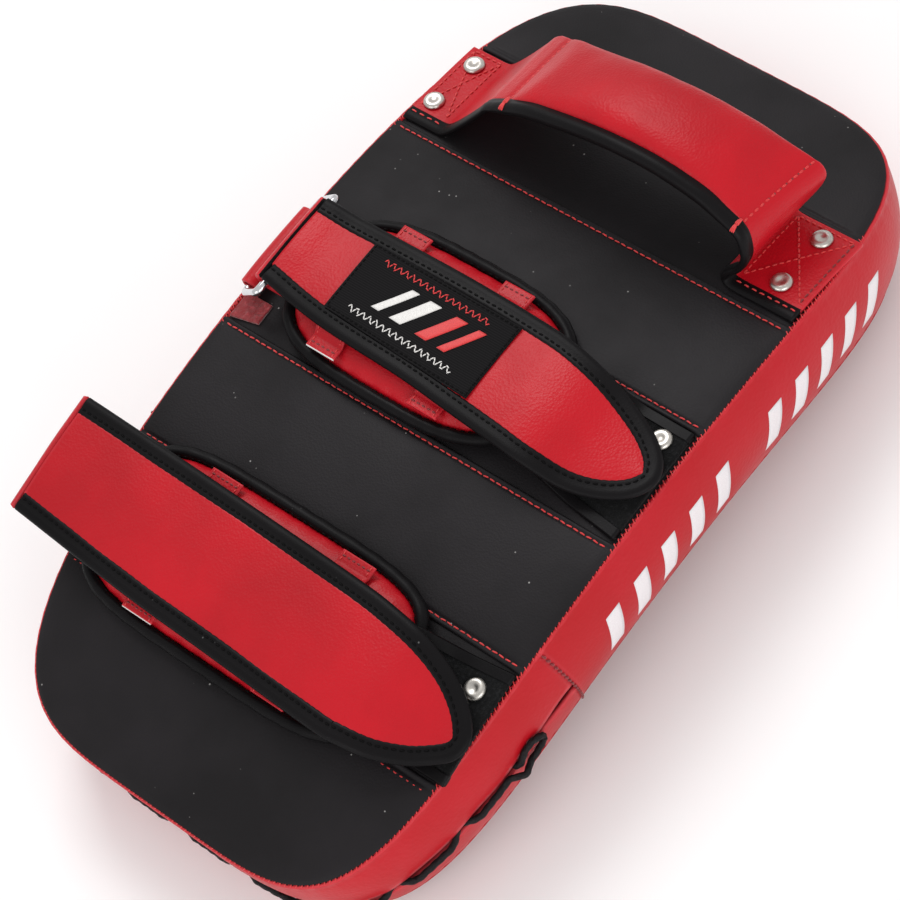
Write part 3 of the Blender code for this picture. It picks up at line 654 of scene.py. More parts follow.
def wall_section(i, high, low, count, top_roll, low_roll):
    """Closed section of the wall leather: rolled edge, padded outer face, rolled edge and back."""
    x, s = OUTLINE[i]
    nx, ns = NORMALS[i]

    def at(o, h):
        return bend(x + nx * o, s + ns * o, h)

    ring = []
    if top_roll:
        gather = 0.12 * math.sin(i * 1.9)
        ring += [at(o, h + gather) for o, h in TOP_ROLL]
        high -= TOP_ROLL_DROP
    ring += [wall_point(i, high + (low - high) * j / count) for j in range(count + 1)]
    if low_roll:
        ring += [at(o, -THICK + h) for o, h in LOW_ROLL]
    back_low = -THICK + 1.6 if low_roll else low
    for j in range(7):
        h = back_low + (high - back_low) * j / 6
        o = wall_bulge(h, s) - LEATHER - 0.5
        if j == 6:
            o = min(o, TOP_ROLL[0][0] if top_roll else wall_bulge(high, s) - LEATHER)
            h -= 0.6 if top_roll else 0.0
        ring.append(at(o, h))
    for point in ring:
        point.z = max(point.z, FLOOR_CLEAR * MM)
    return ring


COUNT = len(OUTLINE)


def wall_seam(side):
    """Outline point where the end wall is sewn on, at the right (1) or the left (-1)."""
    found = [i for i in range(COUNT) if OUTLINE[i][0] * side > 0.0]
    return min(found, key=lambda i: abs(OUTLINE[i][1] - END_WALL_SEAM))


RIGHT_SEAM = wall_seam(1)
LEFT_SEAM = wall_seam(-1)


def outline_run(first, last):
    """Outline points from first to last, anticlockwise."""
    span = (last - first) % COUNT
    return [(first + k) % COUNT for k in range(span + 1)]


side_run = outline_run(RIGHT_SEAM, LEFT_SEAM)
end_run = outline_run(LEFT_SEAM, RIGHT_SEAM)
side_wall = loft("side_wall_leather", [wall_section(i, 0.0, -THICK + 1.2, 22, True, True) for i in side_run],
                 RED_WALL)
keep(side_wall, "pad", "red_leather", "side_wall")
slit_high = SLIT_H + SLIT_GAP / 2.0
slit_low = SLIT_H - SLIT_GAP / 2.0


def slit_dip(k):
    """The slit's lips lie closer where the lace pulls them together."""
    return 0.9 * math.cos(2.0 * math.pi * k / 12.0)


end_back = loft("end_wall_back_leather",
                [wall_section(i, 0.0, slit_high + 0.5 * slit_dip(k), 12, True, False)
                 for k, i in enumerate(end_run)], RED_WALL)
keep(end_back, "pad", "red_leather", "end_wall_back_half")
end_strike = loft("end_wall_strike_leather",
                  [wall_section(i, slit_low - 0.5 * slit_dip(k), -THICK + 1.2, 12, False, True)
                   for k, i in enumerate(end_run)], RED_WALL)
keep(end_strike, "pad", "red_leather", "end_wall_strike_half")

for label, i in (("right", RIGHT_SEAM), ("left", LEFT_SEAM)):
    seam = []
    for j in range(30):
        h = -1.5 - j * (THICK - 3.0) / 29
        seam.append((wall_point(i, h, 0.2), (wall_point(i, h, 1.0) - wall_point(i, h)).normalized()))
    sew("gusset_stitches_" + label, seam, DEEP_THREAD, "pad", "lace_cord", pitch=2.6, radius=0.5, lift=0.25,
        slant=0.35)

# Printed bars on both long walls, in place of the lettering.


# Positions along the outline are in outline points, heights in millimetres.
BARS = 10
GROUP = 5
BAR_FIRST = 9.0
BAR_PITCH = 7.6
GROUP_GAP = 7.0
BAR_WIDTH = 3.6
BAR_LEAN = 2.4
BAR_LOW = -37.0
BAR_HIGH = -17.0


def print_bar(name, start):
    """A slanted white bar printed on the wall: columns run along the outline, rows up the wall."""
    rings = []
    rows = 10
    for r in range(rows + 1):
        h = BAR_LOW + (BAR_HIGH - BAR_LOW) * r / rows
        ring = []
        for lift, cells in ((0.14, range(5)), (0.04, range(4, -1, -1))):
            for c in cells:
                at = start + BAR_LEAN * r / rows + BAR_WIDTH * c / 4.0
                i = math.floor(at)
                a = wall_point(i % COUNT, h, lift)
                b = wall_point((i + 1) % COUNT, h, lift)
                ring.append(a.lerp(b, at - i))
        rings.append(ring)
    return loft(name, rings, PRINT)


for wall_side, seam_index, sign in (("right", RIGHT_SEAM, 1.0), ("left", LEFT_SEAM, -1.0)):
    for n in range(BARS):
        at = seam_index + sign * (BAR_FIRST + BAR_PITCH * n + (GROUP_GAP if n >= GROUP else 0.0))
        keep(print_bar("wall_bar_%s_%02d" % (wall_side, n + 1), at), "pad", "foam_white")

# ---------------------------------------------------------------- strike face
strike_rows = dense(-89.6, 89.6, 1.5, 0.35, 6.0)
rings = []
for degrees in strike_rows:
    a = math.radians(degrees)
    s0 = HALF_LEN * signed_power(math.sin(a), 2.0 / CORNER_POWER)
    w = half_width(s0, 0.0)
    top = []
    low = []
    for j in range(41):
        k = cosine_step(j, 40)
        x = w * signed_power(k, 0.9)
        s = skewed(x, s0)
        edge = 0.0
        if abs(x) < HALF_WID - 0.1:
            edge = min(w - abs(x), end_gap(x, s0, 0.0))
        roll = 1.3 * max(0.0, 1.0 - max(edge, 0.0) / 5.0) ** 2
        swell = 0.25 * ripple(x, s, 45.0, 5.0)
        low_point = bend(x, s, -THICK + roll + swell)
        low_point.z = max(low_point.z, 0.0)
        low.append(low_point)
        top.append(bend(x * 0.995, s, -THICK + LEATHER + 0.6 * roll))
    rings.append(low + top[::-1])
strike = loft("strike_face_leather", rings, RED)
keep(strike, "pad", "red_leather", "strike_face_cover")

# ---------------------------------------------------------------- back panels
SEAM_STITCH = 2.5
RIM_INSET = 0.3
PANELS = (
    ("back_panel_top", SEAM_HANDLE_TOP, HALF_LEN, 0.0),
    ("back_panel_upper", SEAM_UPPER_TOP, SEAM_HANDLE_LOW, 0.0),
    ("back_panel_middle", SEAM_LOWER_TOP, SEAM_UPPER_LOW, 0.0),
    ("back_panel_bottom", -HALF_LEN, SEAM_LOWER_LOW, 0.0),
    ("handle_band", SEAM_HANDLE_LOW - 8.0, SEAM_HANDLE_TOP + 8.0, -1.7),
    ("upper_cuff_band", SEAM_UPPER_LOW - 8.0, SEAM_UPPER_TOP + 8.0, -1.7),
    ("lower_cuff_band", SEAM_LOWER_LOW - 8.0, SEAM_LOWER_TOP + 8.0, -1.7),
)


def panel_height(x, s, w, start, stop):
    """Top of a panel: crowned, dented by its seam stitches and rolled down at the rim and the turned edge."""
    near = []
    if start > -HALF_LEN:
        near.append(s - start)
    if stop < HALF_LEN:
        near.append(stop - s)
    d = min(near)
    h = 0.75 * (1.0 - math.exp(-max(d - 2.0, 0.0) / 9.0))
    h -= 0.5 * math.exp(-((d - SEAM_STITCH) / 0.8) ** 2)
    h -= 0.9 * max(0.0, 1.0 - d / 0.9) ** 2
    rim = max(0.0, min(w - abs(x), end_gap(x, s, RIM_INSET)))
    h -= 1.3 * max(0.0, 1.0 - rim / 3.6) ** 2
    h *= 1.0 if rim > 8.0 else 0.4 + 0.6 * rim / 8.0
    h += 0.16 * ripple(x, s, 22.0, 3.0) * min(1.0, rim / 6.0)
    return h


for name, start, stop, level in PANELS:
    low = max(start, -HALF_LEN + RIM_INSET + 0.002)
    high = min(stop, HALF_LEN - RIM_INSET - 0.002)
    rows = dense(low, high, 2.4, 0.4, 5.0)
    if stop >= HALF_LEN:
        rows = [r for r in rows if r < high - 4.0] + [high - 4.0 * (1.0 - k / 22.0) ** 2.6 for k in range(23)]
    if start <= -HALF_LEN:
        rows = [low + 4.0 * (k / 22.0) ** 2.6 for k in range(23)] + [r for r in rows if r > low + 4.0]
    rings = []
    for s0 in rows:
        w = half_width(s0, RIM_INSET)
        top = []
        under = []
        for j in range(61):
            k = cosine_step(j, 60)
            x = w * signed_power(k, 0.85)
            s = skewed(x, s0)
            top.append(bend(x, s, level + panel_height(x, s0, w, start, stop)))
            under.append(bend(x * 0.997, s, level - 1.5 - (0.3 if w - abs(x) < 3.0 else 0.0)))
        rings.append(top + under[::-1])
    keep(loft(name + "_leather", rings, BLACK), "pad", "black_leather", name)

SEAM_LINES = (("handle_low", SEAM_HANDLE_LOW - SEAM_STITCH),
              ("upper_top", SEAM_UPPER_TOP + SEAM_STITCH), ("upper_low", SEAM_UPPER_LOW - SEAM_STITCH),
              ("lower_top", SEAM_LOWER_TOP + 2.1), ("lower_low", SEAM_LOWER_LOW - 4.2))


def back_point(x, s0, t):
    return bend(x, skewed(x, s0), t)


for name, s in SEAM_LINES:
    w = half_width(s, PANEL_INSET) - 1.0
    line = line_on(back_point, [(-w, s), (w, s)], -0.28)
    sew("seam_stitches_" + name, line, RED_THREAD, "pad", pitch=3.1, fill=0.8, radius=0.34)

# Whipped stitches that close the wall to the back, over the rolled edge.
rim = []
for i in range(COUNT):
    x, s = OUTLINE[i]
    if s > SEAM_HANDLE_TOP + 6.0:
        continue
    nx, ns = NORMALS[i]
    rim.append((i, bend(x - nx * 0.5, s - ns * 0.5, -0.85), normal_of(bend, x, s)))
first_rim = next(k for k in range(len(rim)) if (rim[k][0] - rim[k - 1][0]) % COUNT > 1)
rim = rim[first_rim:] + rim[:first_rim]
rim_line = [(p, n) for i, p, n in rim]
sew("rim_stitches_red", rim_line, RED_THREAD, "pad", pitch=2.3, fill=1.1, radius=0.3, lift=0.15, slant=0.95)
sew("rim_stitches_black", rim_line[1:], BLACK_THREAD, "pad", "lace_cord", pitch=2.3, fill=0.6, radius=0.36,
    lift=0.05, slant=-0.6)

# ---------------------------------------------------------------- sheets that follow a path across the pad


def sheet_ring(place, u, low, high, thick, across, crown, soft, seed):
    """Closed section of a sheet at u: rounded edges, even top and bottom."""
    half = thick / 2.0

    def point(j, side):
        k = cosine_step(j, across)
        s = 0.5 * (low + high) + 0.5 * (high - low - 0.6 * half) * k
        t = side * half + soft * ripple(u, s, 17.0, seed)
        if side > 0.0:
            t += crown * (1.0 - k * k)
        if abs(k) > 0.999:
            t -= side * 0.45 * half
        return place(u, s, t)

    top = [point(j, 1.0) for j in range(across + 1)]
    bottom = [point(j, -1.0) for j in range(across, -1, -1)]
    return top + [place(u, high, 0.0)] + bottom + [place(u, low, 0.0)]


def strip(name, us, low, high, place, thick, mat, across=18, crown=0.0, soft=0.0, seed=0.0):
    """A sheet between low(u) and high(u) along a path."""
    rings = [sheet_ring(place, u, low(u), high(u), thick, across, crown, soft, seed) for u in us]
    return loft(name, rings, mat)


def constant(value):
    return lambda u: value


def following(knots):
    return lambda u: interpolate(knots, u)


# ---------------------------------------------------------------- carrying handle
HANDLE_NEAR = 97.8
LEFT_LEG_KNOTS = [(-97.8, 0.0), (-93.8, -0.1), (-88.0, -0.1), (-80.0, 0.0), (-76.0, 1.8), (-70.0, 7.4),
                  (-62.0, 15.8), (-54.0, 24.6), (-47.3, 31.2)]
RIGHT_LEG_KNOTS = [(97.8, 0.0), (93.0, -0.1), (84.0, -0.1), (70.5, -0.1), (66.2, 1.2), (65.0, 3.9),
                   (67.6, 7.0), (72.0, 11.2), (75.2, 17.0), (75.8, 23.0), (73.2, 29.8)]
ROLL_KNOTS = [(-46.7, 31.8), (-30.0, 37.9), (-13.0, 42.0), (2.0, 44.7), (17.0, 46.2), (36.0, 45.9),
              (55.0, 41.8), (65.0, 36.8), (72.7, 30.6)]
ROLL = Path(ROLL_KNOTS)
LEFT_LEG = Path(LEFT_LEG_KNOTS)
RIGHT_LEG = Path(RIGHT_LEG_KNOTS)
WHOLE = Path(LEFT_LEG_KNOTS[:-1] + [(-48.5, 29.9)] + ROLL_KNOTS[1:-1] + [(73.4, 31.0)]
             + RIGHT_LEG_KNOTS[-2::-1])
ROLL_SPAN = ROLL.length
ROLL_FIRST = LEFT_LEG.length
ROLL_LAST = ROLL_FIRST + ROLL_SPAN
END_FLAT = 12.5
SEAM_LEFT = ROLL_FIRST + 7.0
SEAM_RIGHT = ROLL_LAST - 0.5


def roll_fullness(u):
    v = (u - ROLL_FIRST) / (ROLL_LAST - ROLL_FIRST)
    return math.sin(math.pi * v) ** 0.65 if 0.0 < v < 1.0 else 0.0


def handle_section(u):
    """Middle, half width, rise and squareness of the handle leather at u along the whole strap."""
    f = roll_fullness(u)
    inside = min(max((u - SEAM_LEFT) / 16.0, 0.0), 1.0) * min(max((SEAM_RIGHT - u) / 16.0, 0.0), 1.0)
    inside = math.sin(0.5 * math.pi * inside)
    (x, h), _ = WHOLE.at(u)
    lean = 3.0 * min(1.0, max(0.0, h / 30.0))
    half = 19.5 - 0.3 * min(1.0, h / 20.0) - 3.1 * f
    middle = HANDLE_NEAR + lean + half + 0.3 * f
    rise = 1.1 + 1.2 * f + 4.9 * f * inside
    for seam in (SEAM_LEFT, SEAM_RIGHT):
        rise -= 0.6 * math.exp(-((u - seam) / 1.3) ** 2)
    return middle, half, rise, 2.3 + 7.0 * (1.0 - inside)


def overhang(u, c):
    """The far corner of the right fold stands out past its foot."""
    return 5.5 * MM * max(0.0, 0.5 * (c + 1.0)) ** 1.3 * math.exp(-((u - ROLL_LAST - 4.0) / 8.5) ** 2)


def handle_surface(u, c, t):
    """Top of the handle leather: u along it, c from -1 (near edge) to 1 (far edge), t above it."""
    middle, half, rise, power = handle_section(u)
    lift = max(1.0 - abs(c) ** power, 0.0) ** (1.0 / power)
    f = roll_fullness(u)
    crease = (0.28 * f * ripple(u, c * 20.0, 9.0, 7.0) * (0.35 + abs(c))
              + 0.35 * f * ripple(u, c * 12.0, 26.0, 4.0))
    point = WHOLE.lay(u, middle + half * c, -0.2 + rise * lift + crease + t)
    point.x += overhang(u, c)
    return point


handle_us = dense(0.0, WHOLE.length, 1.5, 0.8, 34.0)
rings = []
for u in handle_us:
    middle, half, *_ = handle_section(u)
    ring = []
    for j in range(33):
        c = cosine_step(j, 32)
        ring.append(handle_surface(u, c, 0.0))
    for j in range(32, -1, -1):
        c = cosine_step(j, 32) * 0.985
        point = WHOLE.lay(u, middle + half * c, -1.1)
        point.x += overhang(u, c)
        ring.append(point)
    rings.append(ring)
handle = loft("handle_leather", rings, RED)
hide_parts("handle_cover_top", "handle_strap_left", "handle_strap_right")
LEG_LOW = bend(0.0, 117.0, 1.5)
LEG_HIGH = bend(0.0, 117.0, 29.0)
LEG_HIGH.y = LEG_LOW.y
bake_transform(handle)

# Filling of the grip, clear of the flat ends.
rings = []
for i in range(25):
    u = END_FLAT + 6.0 + (ROLL_SPAN - 2.0 * END_FLAT - 12.0) * i / 24
    f = math.sin(math.pi * u / ROLL_SPAN) ** 0.65
    (x, h), (nx, nh) = ROLL.at(u)
    middle = HANDLE_NEAR + 3.0 + 18.8 - 3.3 * f
    ring = []
    for j in range(24):
        a = 2.0 * math.pi * j / 24
        t = (3.0 if math.sin(a) > 0.0 else 9.5) * f * signed_power(math.sin(a), 0.8)
        ring.append(bend(x + nx * t, middle + (14.0 - 2.0 * f) * math.cos(a), h + nh * t))
    rings.append(ring)
keep(loft("handle_filling", rings, FOAM_WHITE), "handle_grip", "foam_white", "handle_foam")

# Black underside of the grip, and its taped edges.
rings = []
for i in range(61):
    u = 1.0 + (ROLL_SPAN - 2.0) * i / 60
    f = math.sin(math.pi * (u / ROLL_SPAN)) ** 0.65
    half = 18.6 - 3.4 * f
    depth = 1.6 + 12.4 * f
    (x, h), (nx, nh) = ROLL.at(u)
    middle = HANDLE_NEAR + 3.0 + half
    ring = []
    for j in range(25):
        a = math.pi * j / 24
        crease = 0.3 * f * ripple(u, j * 1.6, 10.0, 9.0)
        t = -(0.4 + depth * math.sin(a) ** 0.8 + crease)
        ring.append(bend(x + nx * t, middle - half * math.cos(a), h + nh * t))
    for j in range(24, -1, -1):
        c = cosine_step(j, 24)
        ring.append(bend(x + nx * -0.25, middle + half * c * 0.97, h + nh * -0.25))
    rings.append(ring)
under_cover = loft("handle_under_leather", rings, BLACK)
keep(under_cover, "handle_grip", "black_leather", "handle_cover_under")


def near_tape(u, a):
    """Section of the near tape at u on the whole strap: flat on the legs, plump beside the padding."""
    middle, half, *_ = handle_section(u)
    f = roll_fullness(u)
    wide = 3.3 + 0.2 * f
    tall = 1.6 + 1.5 * min(1.0, 1.6 * f)
    (x, h), (nx, nh) = WHOLE.at(u)
    groove = 0.75 * math.exp(-(math.remainder(a - 1.15, 2.0 * math.pi) / 0.3) ** 2)
    r = 1.0 - 0.22 * groove
    s = middle - half - 2.3 + 0.4 * f + wide * r * math.cos(a)
    t = -0.1 - 0.9 * f + tall * r * signed_power(math.sin(a), 0.85)
    return bend(x + nx * t, s, h + nh * t)


rings = []
for u in handle_us:
    rings.append([near_tape(u, 2.0 * math.pi * j / 24) for j in range(24)])
near = loft("handle_tape_near", rings, BINDING)
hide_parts("handle_piping_near", "handle_binding_left", "handle_binding_right")
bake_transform(near)

knots = []
for i in range(91):
    u = 6.0 + (ROLL_SPAN - 14.0) * i / 90
    f = math.sin(math.pi * u / ROLL_SPAN) ** 0.65
    half = 18.8 - 3.3 * f
    (x, h), _ = ROLL.at(u)
    knots.append(bend(x, HANDLE_NEAR + 3.0 + 2.0 * half - 1.2, h - 3.4))
keep(tube("handle_tape_far", knots, 2.3, BINDING, sides=16), "handle_grip", "black_binding",
     "handle_piping_far")

# Cross seams at the two ends of the padding, with bartacks over the near tape.
for name, u in (("left", SEAM_LEFT), ("right", SEAM_RIGHT)):
    line = []
    for j in range(41):
        c = -0.97 + 1.94 * j / 40
        line.append((handle_surface(u, c, 0.0), normal_of(handle_surface, u, c)))
    sew("grip_seam_" + name, line, RED_THREAD, "handle_grip", pitch=3.0, lift=0.0)
    sew("grip_seam_pits_" + name, line[:-1], DEEP_THREAD, "handle_grip", "lace_cord", pitch=3.0, fill=0.3,
        radius=0.5, lift=-0.2)
    (x, h), _ = WHOLE.at(u)
    middle, half, *_ = handle_section(u)
    edge = middle - half
    tack = [(bend(x, edge - d, h + 1.9 - 0.13 * (d - 1.5) ** 2 * 0.5), Vector((0.0, -0.3, 0.95))) for d in
            (-0.5, 0.5, 1.5, 2.5, 3.5, 4.5, 5.4)]
    for k in range(3):
        moved = [(p + Vector(((k - 1) * 0.55 * MM, 0.0, 0.25 * MM)), n) for p, n in tack]
        sew("grip_bartack_%s_%d" % (name, k + 1), moved, RED_THREAD, "handle_grip", pitch=2.6, fill=1.15,
            lift=0.3, slant=0.12 * (k - 1))

# Foot tabs: box stitch with a cross, and the black tape along the near edge.
TAB_LINES = {
    "right": [[(95.5, 134.6), (69.0, 134.6)], [(69.0, 134.6), (69.0, 100.4)], [(95.6, 100.4), (95.6, 134.6)],
              [(69.0, 134.6), (95.6, 100.4)], [(69.0, 100.4), (95.6, 134.6)]],
    "left": [[(-95.5, 134.6), (-81.0, 134.6)], [(-81.5, 134.6), (-81.5, 100.4)],
             [(-95.6, 100.4), (-95.6, 134.6)], [(-81.5, 134.6), (-95.6, 100.4)],
             [(-81.5, 100.4), (-95.6, 134.6)]],
}
for side, lines in TAB_LINES.items():
    for number, points in enumerate(lines):
        mat = DEEP_THREAD if number == 2 and side == "right" else RED_THREAD
        line = line_on(bend, points, 0.85)
        sew("tab_stitches_%s_%d" % (side, number + 1), line, mat, "pad", pitch=2.7, radius=0.4, lift=0.1)


def leg_place(path, sign):
    def place(u, s, t):
        (x, h), (nx, nh) = path.at(u)
        lean = 3.0 * min(1.0, max(0.0, h / 30.0))
        return bend(x + nx * t * sign, s + lean, h + nh * t * sign)
    return place


for side, path, sign in (("left", LEFT_LEG, 1.0), ("right", RIGHT_LEG, -1.0)):
    place = leg_place(path, sign)
    flat_run = 30.0 if side == "right" else 17.0
    line = line_on(place, [(0.5, 96.3), (flat_run, 96.3)], 1.25)
    sew("tape_stitches_" + side, line, RED_THREAD, "pad", pitch=3.4, fill=0.62, radius=0.36)

# ---------------------------------------------------------------- cap rivets


def rivet(name, x, s, h):
    """Tubular rivet cap: turned profile with a rolled rim and a dished centre."""
    profile = [(0.0, 0.66), (0.10, 0.67), (0.20, 0.71), (0.30, 0.80), (0.42, 0.90), (0.55, 0.95),
               (0.66, 0.94), (0.77, 0.86), (0.86, 0.70), (0.92, 0.50), (0.96, 0.28), (0.98, 0.1),
               (0.93, -0.05), (0.0, -0.05)]
    verts = []
    faces = []
    sides = 40
    for r, z in profile:
        for j in range(sides):
            a = 2.0 * math.pi * j / sides
            verts.append(bend(x + RIVET_R * r * math.cos(a), s + RIVET_R * r * math.sin(a), h + RIVET_H * z))
    for i in range(len(profile) - 1):
        for j in range(sides):
            k = (j + 1) % sides
            quad = (i * sides + j, i * sides + k, (i + 1) * sides + k, (i + 1) * sides + j)
            if i == 0:
                quad = (0, quad[2], quad[3])
            elif i == len(profile) - 2:
                quad = (quad[0], quad[1], (i + 1) * sides)
            faces.append(quad)
    return keep(make(name + "_cap", verts, faces, NICKEL), "pad", "nickel", name)


HANDLE_RIVET_SEAT = 1.25
STRAP_RIVET_SEAT = 1.1
for name, x, s in (("handle_rivet_left_far", -90.2, 128.0), ("handle_rivet_left_near", -91.4, 104.4),
                   ("handle_rivet_right_far", 84.0, 129.5), ("handle_rivet_right_near", 84.0, 104.4),
                   ("upper_strap_rivet_near", 88.6, 1.0), ("upper_strap_rivet_far", 88.6, 24.6),
                   ("lower_strap_rivet_near", 87.4, -117.5), ("lower_strap_rivet_far", 87.4, -90.2)):
    rivet(name, x, s, HANDLE_RIVET_SEAT if name.startswith("handle") else STRAP_RIVET_SEAT)

# ---------------------------------------------------------------- forearm cuffs
UPPER_FLAP_EDGE = [(-83.5, -3.6), (-50.0, -7.6), (-8.0, -9.2), (15.0, -11.0), (40.0, -13.0), (55.0, -14.0),
                   (72.0, -13.2), (84.0, -10.0), (94.0, -4.5), (100.0, 2.0), (101.8, 9.0), (99.0, 16.0),
                   (92.0, 22.0), (82.0, 27.0), (68.0, 31.5), (50.0, 34.8), (30.0, 37.0), (-8.0, 38.2),
                   (-50.0, 38.0), (-83.5, 37.4)]
LOWER_FLAP_EDGE = [(-114.3, -127.0), (-55.0, -131.0), (-10.0, -132.5), (47.0, -134.4), (58.0, -134.0),
                   (72.0, -132.0), (84.0, -127.5), (92.0, -122.7), (99.0, -117.0), (101.3, -112.0),
                   (101.0, -106.0), (97.0, -100.0), (90.0, -94.0), (80.0, -88.5), (66.0, -84.0),
                   (50.0, -81.5), (30.0, -80.0), (-33.0, -78.0), (-88.0, -76.8), (-114.3, -76.4)]
UPPER_TIP = [(24.0, 15.7), (42.0, 15.9), (56.0, 14.0), (70.0, 9.4), (85.0, 6.4), (98.0, 4.9), (106.0, 4.6)]
LOWER_TIP = [(30.0, 15.7), (56.0, 15.7), (66.0, 14.3), (76.0, 10.6), (87.0, 7.0), (98.0, 5.1), (106.0, 4.6)]
UPPER_FLAP = Path([(-83.5, 18.4), (-78.0, 17.6), (-70.0, 16.3), (-60.0, 15.8), (-20.0, 15.7)] + UPPER_TIP)
LOWER_FLAP = Path([(-114.3, 17.8), (-106.0, 17.2), (-90.0, 16.2), (-70.0, 15.8), (-20.0, 15.7)] + LOWER_TIP)
CARRIER_RISE = [(97.6, -0.1), (93.0, -0.2), (84.0, -0.2), (73.5, 0.2), (66.0, 3.4), (58.0, 8.0), (50.0, 10.9),
                (42.0, 11.4)]
UPPER_CARRIER = Path(CARRIER_RISE + [(0.0, 11.4), (-40.0, 11.4), (-76.0, 11.4)]
                     + arc_knots(RING_INNER, 3.5, -90.0, -254.0, 8))
LOWER_RISE = [(97.4, -0.1), (93.0, -0.2), (87.0, -0.2), (80.0, 0.2), (74.0, 2.6), (68.0, 7.0), (62.5, 10.6),
              (56.0, 11.4)]
LOWER_CARRIER = Path(LOWER_RISE + [(0.0, 11.4), (-40.0, 11.4), (-66.0, 11.4)])
LOWER_FOLD = (-114.3, 14.2)
LOWER_ROOT = Path([(-92.5, 1.0), (-97.0, 1.7), (-103.0, 4.0), (-108.0, 7.8)]
                  + arc_knots(LOWER_FOLD, 3.6, -72.0, -254.0, 8))


def cushion(name, outline):
    """Stuffed red cushion: rings run from the welt up over the crown to the spine of the cushion."""
    cx = sum(x for x, s in outline) / len(outline)
    cs = sum(s for x, s in outline) / len(outline)
    half_s = max(s for x, s in outline) - cs
    half_x = max(x for x, s in outline) - cx
    reach = half_x - half_s * 0.8
    base = shrink(outline, 2.0 * PIPING_R - 0.6)
    levels = [(0.004 * (6 - k), CUSHION_LOW + 0.1 + 0.25 * k) for k in range(7)]
    for k in range(1, 17):
        a = 0.5 * math.pi * k / 16
        levels.append((0.32 * (1.0 - math.cos(a)),
                       CUSHION_LOW + 1.6 + (CUSHION_TOP - CUSHION_LOW - 1.6) * math.sin(a)))
    for k in range(1, 9):
        levels.append((0.32 + 0.62 * k / 8.0, CUSHION_TOP + 0.25 * math.sin(0.5 * math.pi * k / 8.0)))
    rings = []
    for f, h in levels:
        ring = []
        for i, (x, s) in enumerate(base):
            sx = min(max(x - cx, -reach), reach) + cx
            px = x + (sx - x) * f
            ps = s + (cs - s) * f
            fade = math.exp(-f / 0.16) * min(1.0, f / 0.05)
            pucker = 0.45 * fade * math.sin(i * 0.92 + 2.0 * ripple(x, s, 15.0, 8.0))
            swell = 0.22 * ripple(px, ps, 18.0, 6.0) * min(1.0, f / 0.3)
            ring.append(bend(px, ps, h + pucker + swell))
        rings.append(ring)
    return loft(name, rings, RED)


def cuff(prefix, body, outline_args, keepers, carrier_s, outline_count):
    outline = even(oval(*outline_args, 600), outline_count)
    made = cushion(prefix + "_cushion_leather", outline)
    keep(made, body, "red_leather", prefix + "_cushion")
    middle = [bend(x, s, 4.6) for x, s in shrink(outline, PIPING_R)]
    welt = tube(prefix + "_cushion_welt", middle, PIPING_R, BINDING, closed=True, sides=20, shape=welt_shape)
    keep(welt, body, "black_binding", prefix + "_cushion_piping")
    foot = [bend(x, s, 2.3) for x, s in shrink(outline, PIPING_R + 0.6)]
    flange = tube(prefix + "_cushion_flange", foot, 1.5, BINDING, closed=True, sides=10)
    keep(flange, body, "black_binding")
    groove = [(bend(x, s, 6.0), normal_of(bend, x, s)) for x, s in shrink(outline, 2.0 * PIPING_R - 0.5)]
    sew(prefix + "_welt_stitches", groove + groove[:1], BLACK_THREAD, body, "lace_cord", pitch=3.2,
        radius=0.4, lift=0.0)
    low_s, high_s = carrier_s
    for side, (x0, x1) in zip(("left", "right"), keepers):
        span = [s for x, s in outline if x0 - 6.0 < x < x1 + 6.0]
        first = min(span) + 2.0 * PIPING_R + 0.6
        last = max(span) - 2.0 * PIPING_R - 0.6

        def over(s, x, t):
            gap = max(low_s - 1.2 - s, s - high_s - 1.2, 0.0)
            rise = max(0.0, 1.0 - gap / 3.0)
            return bend(x, s, CUSHION_TOP + 0.55 + 2.75 * rise * rise * (3.0 - 2.0 * rise) + t)

        us = dense(first, last, 1.6, 0.5, 5.0)
        keeper = "%s_keeper_%s" % (prefix, side)
        band = strip(keeper + "_leather", us, constant(x0), constant(x1), over, 1.1, RED, across=14,
                     crown=0.12, soft=0.08)
        keep(band, body, "red_leather", keeper)
        for n, x in enumerate((x0 + 1.6, x1 - 1.6)):
            line = line_on(over, [(first, x), (last, x)], 0.62, pitch=0.8)
            sew("%s_stitches_%d" % (keeper, n + 1), line, RED_THREAD, body, pitch=2.4, radius=0.34, lift=0.0)
        for n, s in enumerate((first - 0.1, last + 0.1)):
            if side == "left" and n == 0:
                raw = strip("%s_keeper_raw_edge" % prefix, steps(s - 0.28, s + 0.28, 0.14),
                            constant(x0 + 0.3), constant(x1 - 0.3), over, 1.0, WHITE_THREAD, across=22,
                            soft=0.2)
                keep(raw, body, "foam_white")
            tack_s = s + (2.2 if n == 0 else -2.2)
            line = line_on(over, [(tack_s, x0 + 1.0), (tack_s, x1 - 1.0)], 0.62, pitch=0.8)
            sew("%s_tack_%d" % (keeper, n + 1), line, DEEP_THREAD, body, pitch=2.2, radius=0.36, lift=0.0)


def welt_shape(a, i):
    """A stuffed welt, slightly uneven where the leather gathers round the curve."""
    return 1.0 + 0.05 * math.sin(i * 0.9 + 1.3 * math.sin(i * 0.21)) + 0.03 * math.cos(3.0 * a)


cuff("upper", "upper_cuff", (-18.5, 15.7, 61.5, 36.3, 3.2), ((-54.0, -39.0), (-2.0, 13.0)), (-5.2, 35.6), 220)
cuff("lower", "lower_cuff", (-13.0, -104.0, 74.5, 36.7, 4.4), ((-54.0, -38.0), (14.0, 30.5)),
     (-125.6, -82.6), 240)

# ---------------------------------------------------------------- closing flaps


